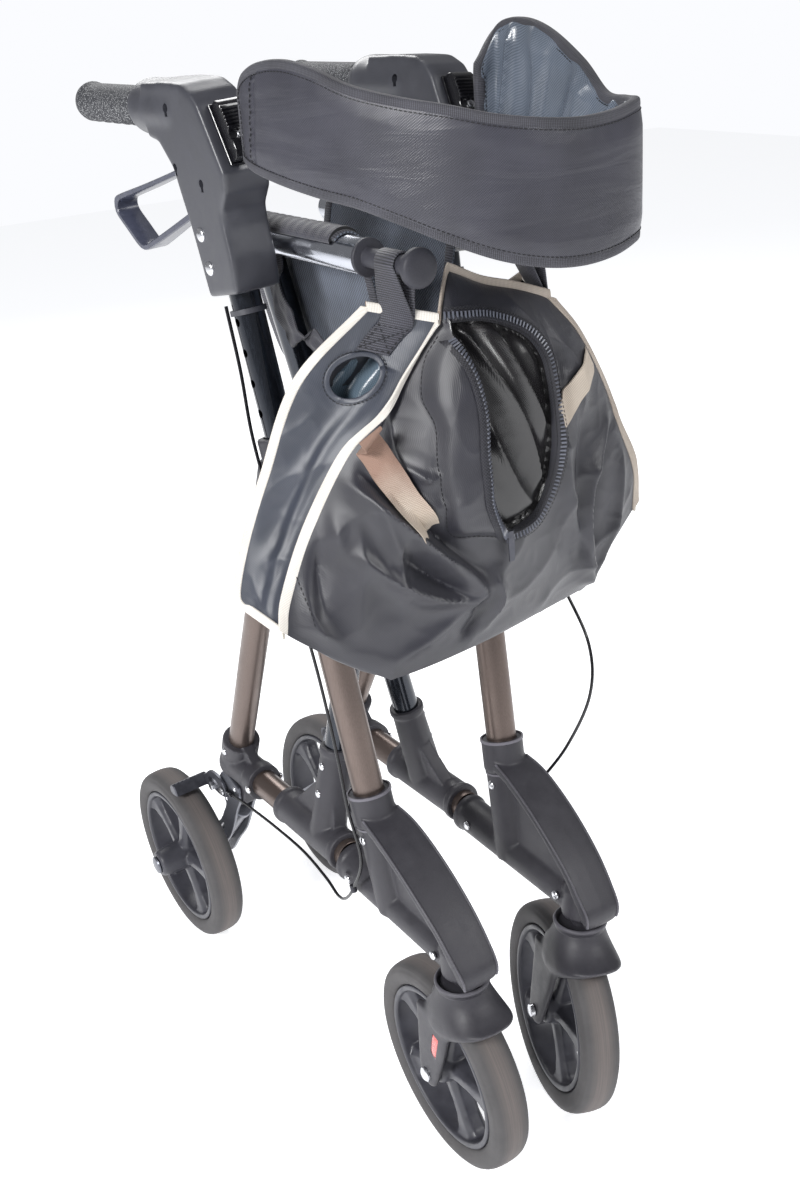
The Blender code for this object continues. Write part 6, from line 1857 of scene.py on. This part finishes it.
def hole_in(mesh, side_grid, centre_row, reach_down, reach_across):
    """Cuts an oval through a gusset and returns the points round its edge and their ways out."""
    widths = np.linalg.norm(side_grid[:, -1] - side_grid[:, 0], axis=1)
    steps = np.linalg.norm(np.diff(side_grid[:, DEEP // 2], axis=0), axis=1)
    runs = np.concatenate([[0], np.cumsum(steps)])
    runs -= runs[centre_row]

    def place_at(down, across):
        row = float(np.interp(down, runs, np.arange(HIGH + 1)))
        col = (across / float(np.interp(row, np.arange(HIGH + 1), widths)) + 0.5) * DEEP
        r, c = min(int(row), HIGH - 1), min(max(int(col), 0), DEEP - 1)
        a = side_grid[r, c] * (1 - (col - c)) + side_grid[r, c + 1] * (col - c)
        b = side_grid[r + 1, c] * (1 - (col - c)) + side_grid[r + 1, c + 1] * (col - c)
        return Vector(a * (1 - (row - r)) + b * (row - r))

    work = bmesh.new()
    work.from_mesh(mesh)
    work.verts.ensure_lookup_table()
    spot = {}
    for vert in work.verts:
        row, col = divmod(vert.index, DEEP + 1)
        spot[vert] = (runs[row], (col / DEEP - 0.5) * widths[row])

    def size(vert):
        return math.hypot(spot[vert][0] / reach_down, spot[vert][1] / reach_across)

    gone = [f for f in work.faces if sum(size(vert) for vert in f.verts) / 4 < 1.0]
    bmesh.ops.delete(work, geom=gone, context="FACES")
    for vert in [v for v in work.verts if v.is_boundary and 0.4 < size(v) < 1.6]:
        down, across = spot[vert]
        vert.co = place_at(down / size(vert), across / size(vert))
    work.to_mesh(mesh)
    work.free()
    turns = [math.tau * step / 72 for step in range(73)]
    edge_points = [place_at(reach_down * math.cos(t), reach_across * math.sin(t)) for t in turns]
    outside = [
        (place_at(1.3 * reach_down * math.cos(t), 1.3 * reach_across * math.sin(t)) - p).normalized()
        for t, p in zip(turns, edge_points)
    ]
    return edge_points, outside


def bound(edge_points, ways, faces_of, width, finish, thick=0.0012):
    """Tape folded over an edge: it reaches width along ways, square to the cloth at faces_of."""
    places = [Vector(p) - Vector(w) * width * 0.45 for p, w in zip(edge_points, ways)]
    return (
        flat_sweep(places, [Vector(n) for n in faces_of], [Vector(w) for w in ways], thick, width), finish
    )


def unit(rows):
    rows = np.array(rows)
    return rows / np.maximum(np.linalg.norm(rows, axis=-1, keepdims=True), 1e-9)


def square(edge_points, ways):
    """The cloth's facing along an edge: square to the edge and to its ways."""
    return unit(np.cross(np.gradient(np.array(edge_points), axis=0), np.array(ways)))


near_mesh, far_mesh = sheet_of(near_side), sheet_of(far_side)
hole_edge, hole_ways = hole_in(near_mesh, near_side, 34, 0.02, 0.0185)
far_hole_edge, far_hole_ways = hole_in(far_mesh, far_side, 34, 0.02, 0.0185)
lined = ease_in(mouth - 0.001, 0.001)[:-1, :-1].reshape(-1) > 0.5
cloth_parts = [(front_mesh, bag_nylon), (sheet_of(rear), bag_nylon), (near_mesh, gusset_nylon)]
cloth_parts += [(far_mesh, gusset_nylon), (sheet_of(under), bag_nylon)]
shell_mesh = several(cloth_parts)
shell_mesh.materials.append(pocket_lining)
for index, is_lining in enumerate(lined):
    if is_lining:
        shell_mesh.polygons[index].material_index = 2
weld(shell_mesh, 0.00005)
cloth = placed("cloth", shell_mesh)
wall = cloth.modifiers.new("wall", "SOLIDIFY")
wall.thickness = 0.0012
wall.offset = -1.0
shell_mesh = worked(cloth)

# the bindings and the hem round each arm hole
in_front_near = unit(near_front - front[:, 3])
in_front_far = unit(far_front - front[:, -4])
near_ways = unit(in_front_near + np.array([0, -0.25, 0]))
rear_ways = unit(near_rear - near_front)
far_rear_ways = unit(far_rear - far_front)
up_ways = np.tile(np.array([0.0, 0.0, 1.0]), (WIDE + 1, 1))
near_top, near_foot = near_side[0], near_side[-1]
far_top, far_foot = far_side[0], far_side[-1]
up_short = np.tile(np.array([0.0, 0.0, 1.0]), (DEEP + 1, 1))
trims = []
# the top edges and the far front edge are bound in the copy painted darker and browner as shade
for edge_here, ways, width, finish in (
    (near_front, near_ways, 0.009, pale_tape),
    (near_rear, rear_ways, 0.008, pale_tape),
    (near_foot, -up_short, 0.0095, pale_tape),
    (near_top, up_short, 0.0075, pale_tape),
    (top_front, up_ways, 0.0105, shaded_tape),
    (far_front, in_front_far, 0.0115, shaded_tape),
    (far_rear, far_rear_ways, 0.008, pale_tape),
    (far_foot, -up_short, 0.0095, pale_tape),
    (far_top, up_short, 0.0075, pale_tape),
    (top_rear, up_ways, 0.008, shaded_tape),
):
    trims.append(bound(edge_here, ways, square(edge_here, ways), width, finish))
# a fold of the bag's own coated cloth shows through each arm hole, coloured a pale blue-grey as a painted
# highlight
lit_hole_fold = start_cloth(
    "hole_fold_painted_highlight", "#4a5966", "#6f808e", 0.001, 0.001, 0.00012, 0.26, Coat_Weight=0.3,
    Coat_Roughness=0.2
)
for side_grid, side_out in ((near_side, near_out), (far_side, far_out)):
    rows = []
    for r in range(14, 60, 2):
        row = []
        for c in range(1, DEEP, 1):
            wave = (
                0.0035 * math.sin(c * 0.85 + 0.6 * math.sin(r * 0.2)) - 0.015 * math.sin(math.pi * c / DEEP)
            )
            row.append(Vector(side_grid[r, c]) + Vector(side_out[r, c]) * (wave - 0.003))
        rows.append(row)
    trims.append((skin(rows, around=False), lit_hole_fold))
for edge_points, ways in ((hole_edge, hole_ways), (far_hole_edge, far_hole_ways)):
    normals = square([tuple(p) for p in edge_points], [tuple(w) for w in ways])
    trims.append(bound(edge_points, ways, normals, 0.0045, gusset_nylon, 0.0011))
    seam = [
        p + w * 0.0032 + Vector(n) * s * 0.0013 for s in (1, -1)
        for p, w, n in zip(edge_points, ways, normals)
    ]
    half_way = len(seam) // 2
    for line in (seam[:half_way], seam[half_way:]):
        trims.append((sew(line, 0.002, 0.00035, thread), thread))


def laid_band(line, half_width, lift, finish, thick=0.0008, sag=0.0):
    """Webbing laid on the bag's front along (x, z) points."""
    middle = curve_through([Vector(p) for p in line], 70)
    rows = []
    tucked = 0.0026 if finish.name.endswith("webbing") else 0.0
    for index, p in enumerate(middle):
        way = way_at(middle, index).normalized()
        aside = Vector((-way[1], way[0]))
        slack = sag * math.sin(math.pi * index / 69)
        row = []
        for a, h in (
            (-1, 0), (-1, 1), (-0.5, 1), (0, 1), (0.5, 1), (1, 1), (1, 0), (0.5, 0), (0, 0), (-0.5, 0)
        ):
            spot = p + aside * half_width * a
            low = tucked * max(1 - index / 7, (index - 62) / 7, 0)
            row.append(on_front(spot[0], spot[1], lift + slack - low + thick * 2 * h))
        rows.append(row)
    smooth = np.array([[tuple(q) for q in row] for row in rows])
    for _ in range(6):
        smooth[1:-1, :, 1] = (smooth[:-2, :, 1] + smooth[1:-1, :, 1] * 2 + smooth[2:, :, 1]) / 4
    return skin([[Vector(q) for q in row] for row in smooth]), finish, smooth


near_handle = [(-0.095, 0.704), (-0.087, 0.686), (-0.074, 0.6497), (-0.06, 0.623)]
far_handle = [(0.1195, 0.7215), (0.093, 0.7075), (0.061, 0.688)]
trims.append(laid_band(near_handle, 0.0105, 0.0008, top_browned_web, sag=0.004)[:2])
trims.append(laid_band(far_handle, 0.0098, 0.001, handle_web, sag=0.002)[:2])
for line in (ZIP_OUTER, ZIP_INNER):
    run = curve_through([Vector(p) for p in line], 110)
    band, finish, rows = laid_band(run[::6] + run[-1:], 0.0056, 0.0006, zip_tape, 0.0004)
    trims.append((band, finish))
    both = [Vector((*row[3], *(row[5] - row[1]))) for row in rows]
    both = curve_through(
        both, int(sum((Vector(b[:3]) - Vector(a[:3])).length for a, b in zip(both, both[1:])) / 0.003)
    )
    teeth = [Vector(p[:3]) + Vector((0, -0.0007, 0)) for p in both]
    ways = [Vector(p[3:]).normalized() for p in both]
    # the coil's turns are 1.2 mm apart in life, drawn at 3 mm so that they show
    sizes = {"Stitch length": 0.0056, "Thread radius": 0.00085, "Thread": highlit_coil}
    trims.append((with_map(grow("teeth", stitch_tree, teeth, ways, sizes)), highlit_coil))
    for side_way in (0.82, -0.82):
        seam = [p + w * (0.0056 * side_way) for p, w in zip(teeth, ways)][2:-2:4]
        trims.append((sew(seam, 0.0021, 0.00032, thread), thread))
# the pull at the lower end of the zip
pull_at = on_front(0.0035, 0.6065, 0.0035)
slider = rod(pull_at + Vector((0, 0.001, 0.006)), pull_at + Vector((0, 0.001, -0.004)), 0.0034, 20)
tab = [
    (pull_at.x + x, pull_at.z + z)
    for x, z in ((-0.003, 0), (0.003, 0), (0.0024, -0.019), (-0.0024, -0.019))
]
tab = plate(tab, pull_at.y - 0.0018, pull_at.y - 0.0008, "y")
trims += [(with_map(slider), black_steel), (with_map(tab), black_steel)]
# seams in the cloth: along the pocket and under it
for line in (POCKET_EDGE, [(-0.15, 0.6), (-0.148, 0.56)]):
    run = curve_through([Vector(p) for p in line], 60)
    trims.append((sew([on_front(p[0], p[1], 0.0006) for p in run[2:-2]], 0.0024, 0.00034, thread), thread))

# The bag is cut at its middle and at a level below its top, so each half is in an upper and a lower part.
trim_mesh = several(trims)
CUT, REACH, SLANT = 0.74, 0.105, 1.0
quarters = (
    ("right", -1.0, "upper", 1), ("right", -1.0, "lower", -1), ("left", 1.0, "upper", 1),
    ("left", 1.0, "lower", -1)
)
for part, whole in (("cloth", shell_mesh), ("bindings", trim_mesh)):
    for side_name, sign, level, up_way in quarters:
        work = bmesh.new()
        work.from_mesh(whole)
        for cut_at, cut_way in (((0, 0, 0), (-sign, 0, 0)), ((0, 0, CUT), (0, 0, -up_way))):
            geometry = [*work.verts, *work.edges, *work.faces]
            bmesh.ops.bisect_plane(
                work, geom=geometry, dist=1e-6, plane_co=cut_at, plane_no=cut_way, clear_outer=True
            )
        mesh = bpy.data.meshes.new("bag_part")
        work.to_mesh(mesh)
        work.free()
        for finish in whole.materials:
            mesh.materials.append(finish)
        mesh.transform(MIDDLE)
        made = fit(f"bag_{part}_{side_name}_{level}", mesh, None, None, ["shopping_bag"], sharp=50)
        slant = SLANT if level == "lower" else 0.0
        run = REACH / (1 + slant * slant)
        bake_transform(made)

# The hanging loops. Black ribbed webbing, round each peg and twisted down to a patch that is
# box-stitched to the gusset above its arm hole.
for side_name, sign, side_grid, side_out in (
    ("right", -1.0, near_side, near_out), ("left", 1.0, far_side, far_out)
):
    band = 0.0125
    peg = Vector((sign * RAIL.x, -0.349, RAIL.z))
    stem = [(Vector(side_grid[r, DEEP // 2]), Vector(side_out[r, DEEP // 2])) for r in (4, 11, 18, 21)]
    row = [spot + out * 0.0026 for spot, out in stem]
    lower = [spot + out * 0.001 for spot, out in stem]
    turns = [math.radians(t) for t in range(-10, 191, 18)]
    ring = [peg + Vector((sign * 0.0087 * math.cos(t), 0, 0.0087 * math.sin(t))) for t in turns]
    path = row[::-1] + [row[0].lerp(ring[0], 0.5)] + ring + [lower[0].lerp(ring[-1], 0.45)] + lower
    across = Vector(side_grid[11, DEEP] - side_grid[11, 0]).normalized()
    on_peg = Vector((0, -1, 0))
    between = across.lerp(on_peg, 0.55).normalized()
    widths = [across] * 4 + [between] + [on_peg] * len(ring) + [between] + [across] * 4
    both = curve_through([Vector((*p, *(w * 0.02))) for p, w in zip(path, widths)], 150)
    # the band's section: (across, through) shares of its half width and thickness
    section = (
        (-1, -0.4), (-1, 0.4), (-0.96, 1), (0, 1), (0.96, 1), (1, 0.4), (1, -0.4), (0.96, -1), (0, -1),
        (-0.96, -1)
    )
    rows = []
    for index, state in enumerate(both):
        way = Vector(way_at(both, index)[:3])
        wide = Vector(state[3:]).normalized()
        thick = way.cross(wide).normalized() * 0.0008
        place = Vector(state[:3])
        rows.append([place + wide * band * a + thick * h for a, h in section])
    parts = [(skin(rows), webbing)]
    top, foot = both[2], both[int(150 * 0.13)]
    corner = lambda state, a: Vector(state[:3]) + Vector(state[3:]).normalized() * band * a
    lift = Vector(side_out[12, DEEP // 2]) * 0.001
    box = [corner(top, -0.85), corner(top, 0.85), corner(foot, 0.85), corner(foot, -0.85), corner(top, -0.85)]
    for a, b in [*zip(box, box[1:]), (box[0], box[2]), (box[1], box[3])]:
        parts.append((sew([a + lift, (a + b) / 2 + lift, b + lift], 0.002, 0.00036, thread), thread))
    mesh = several(parts)
    mesh.transform(MIDDLE)
    fit(
        f"{side_name}_loop_webbing", mesh, None, f"{side_name}_hanger", [f"bag_loop_{side_name}"],
        sharp=50
    )
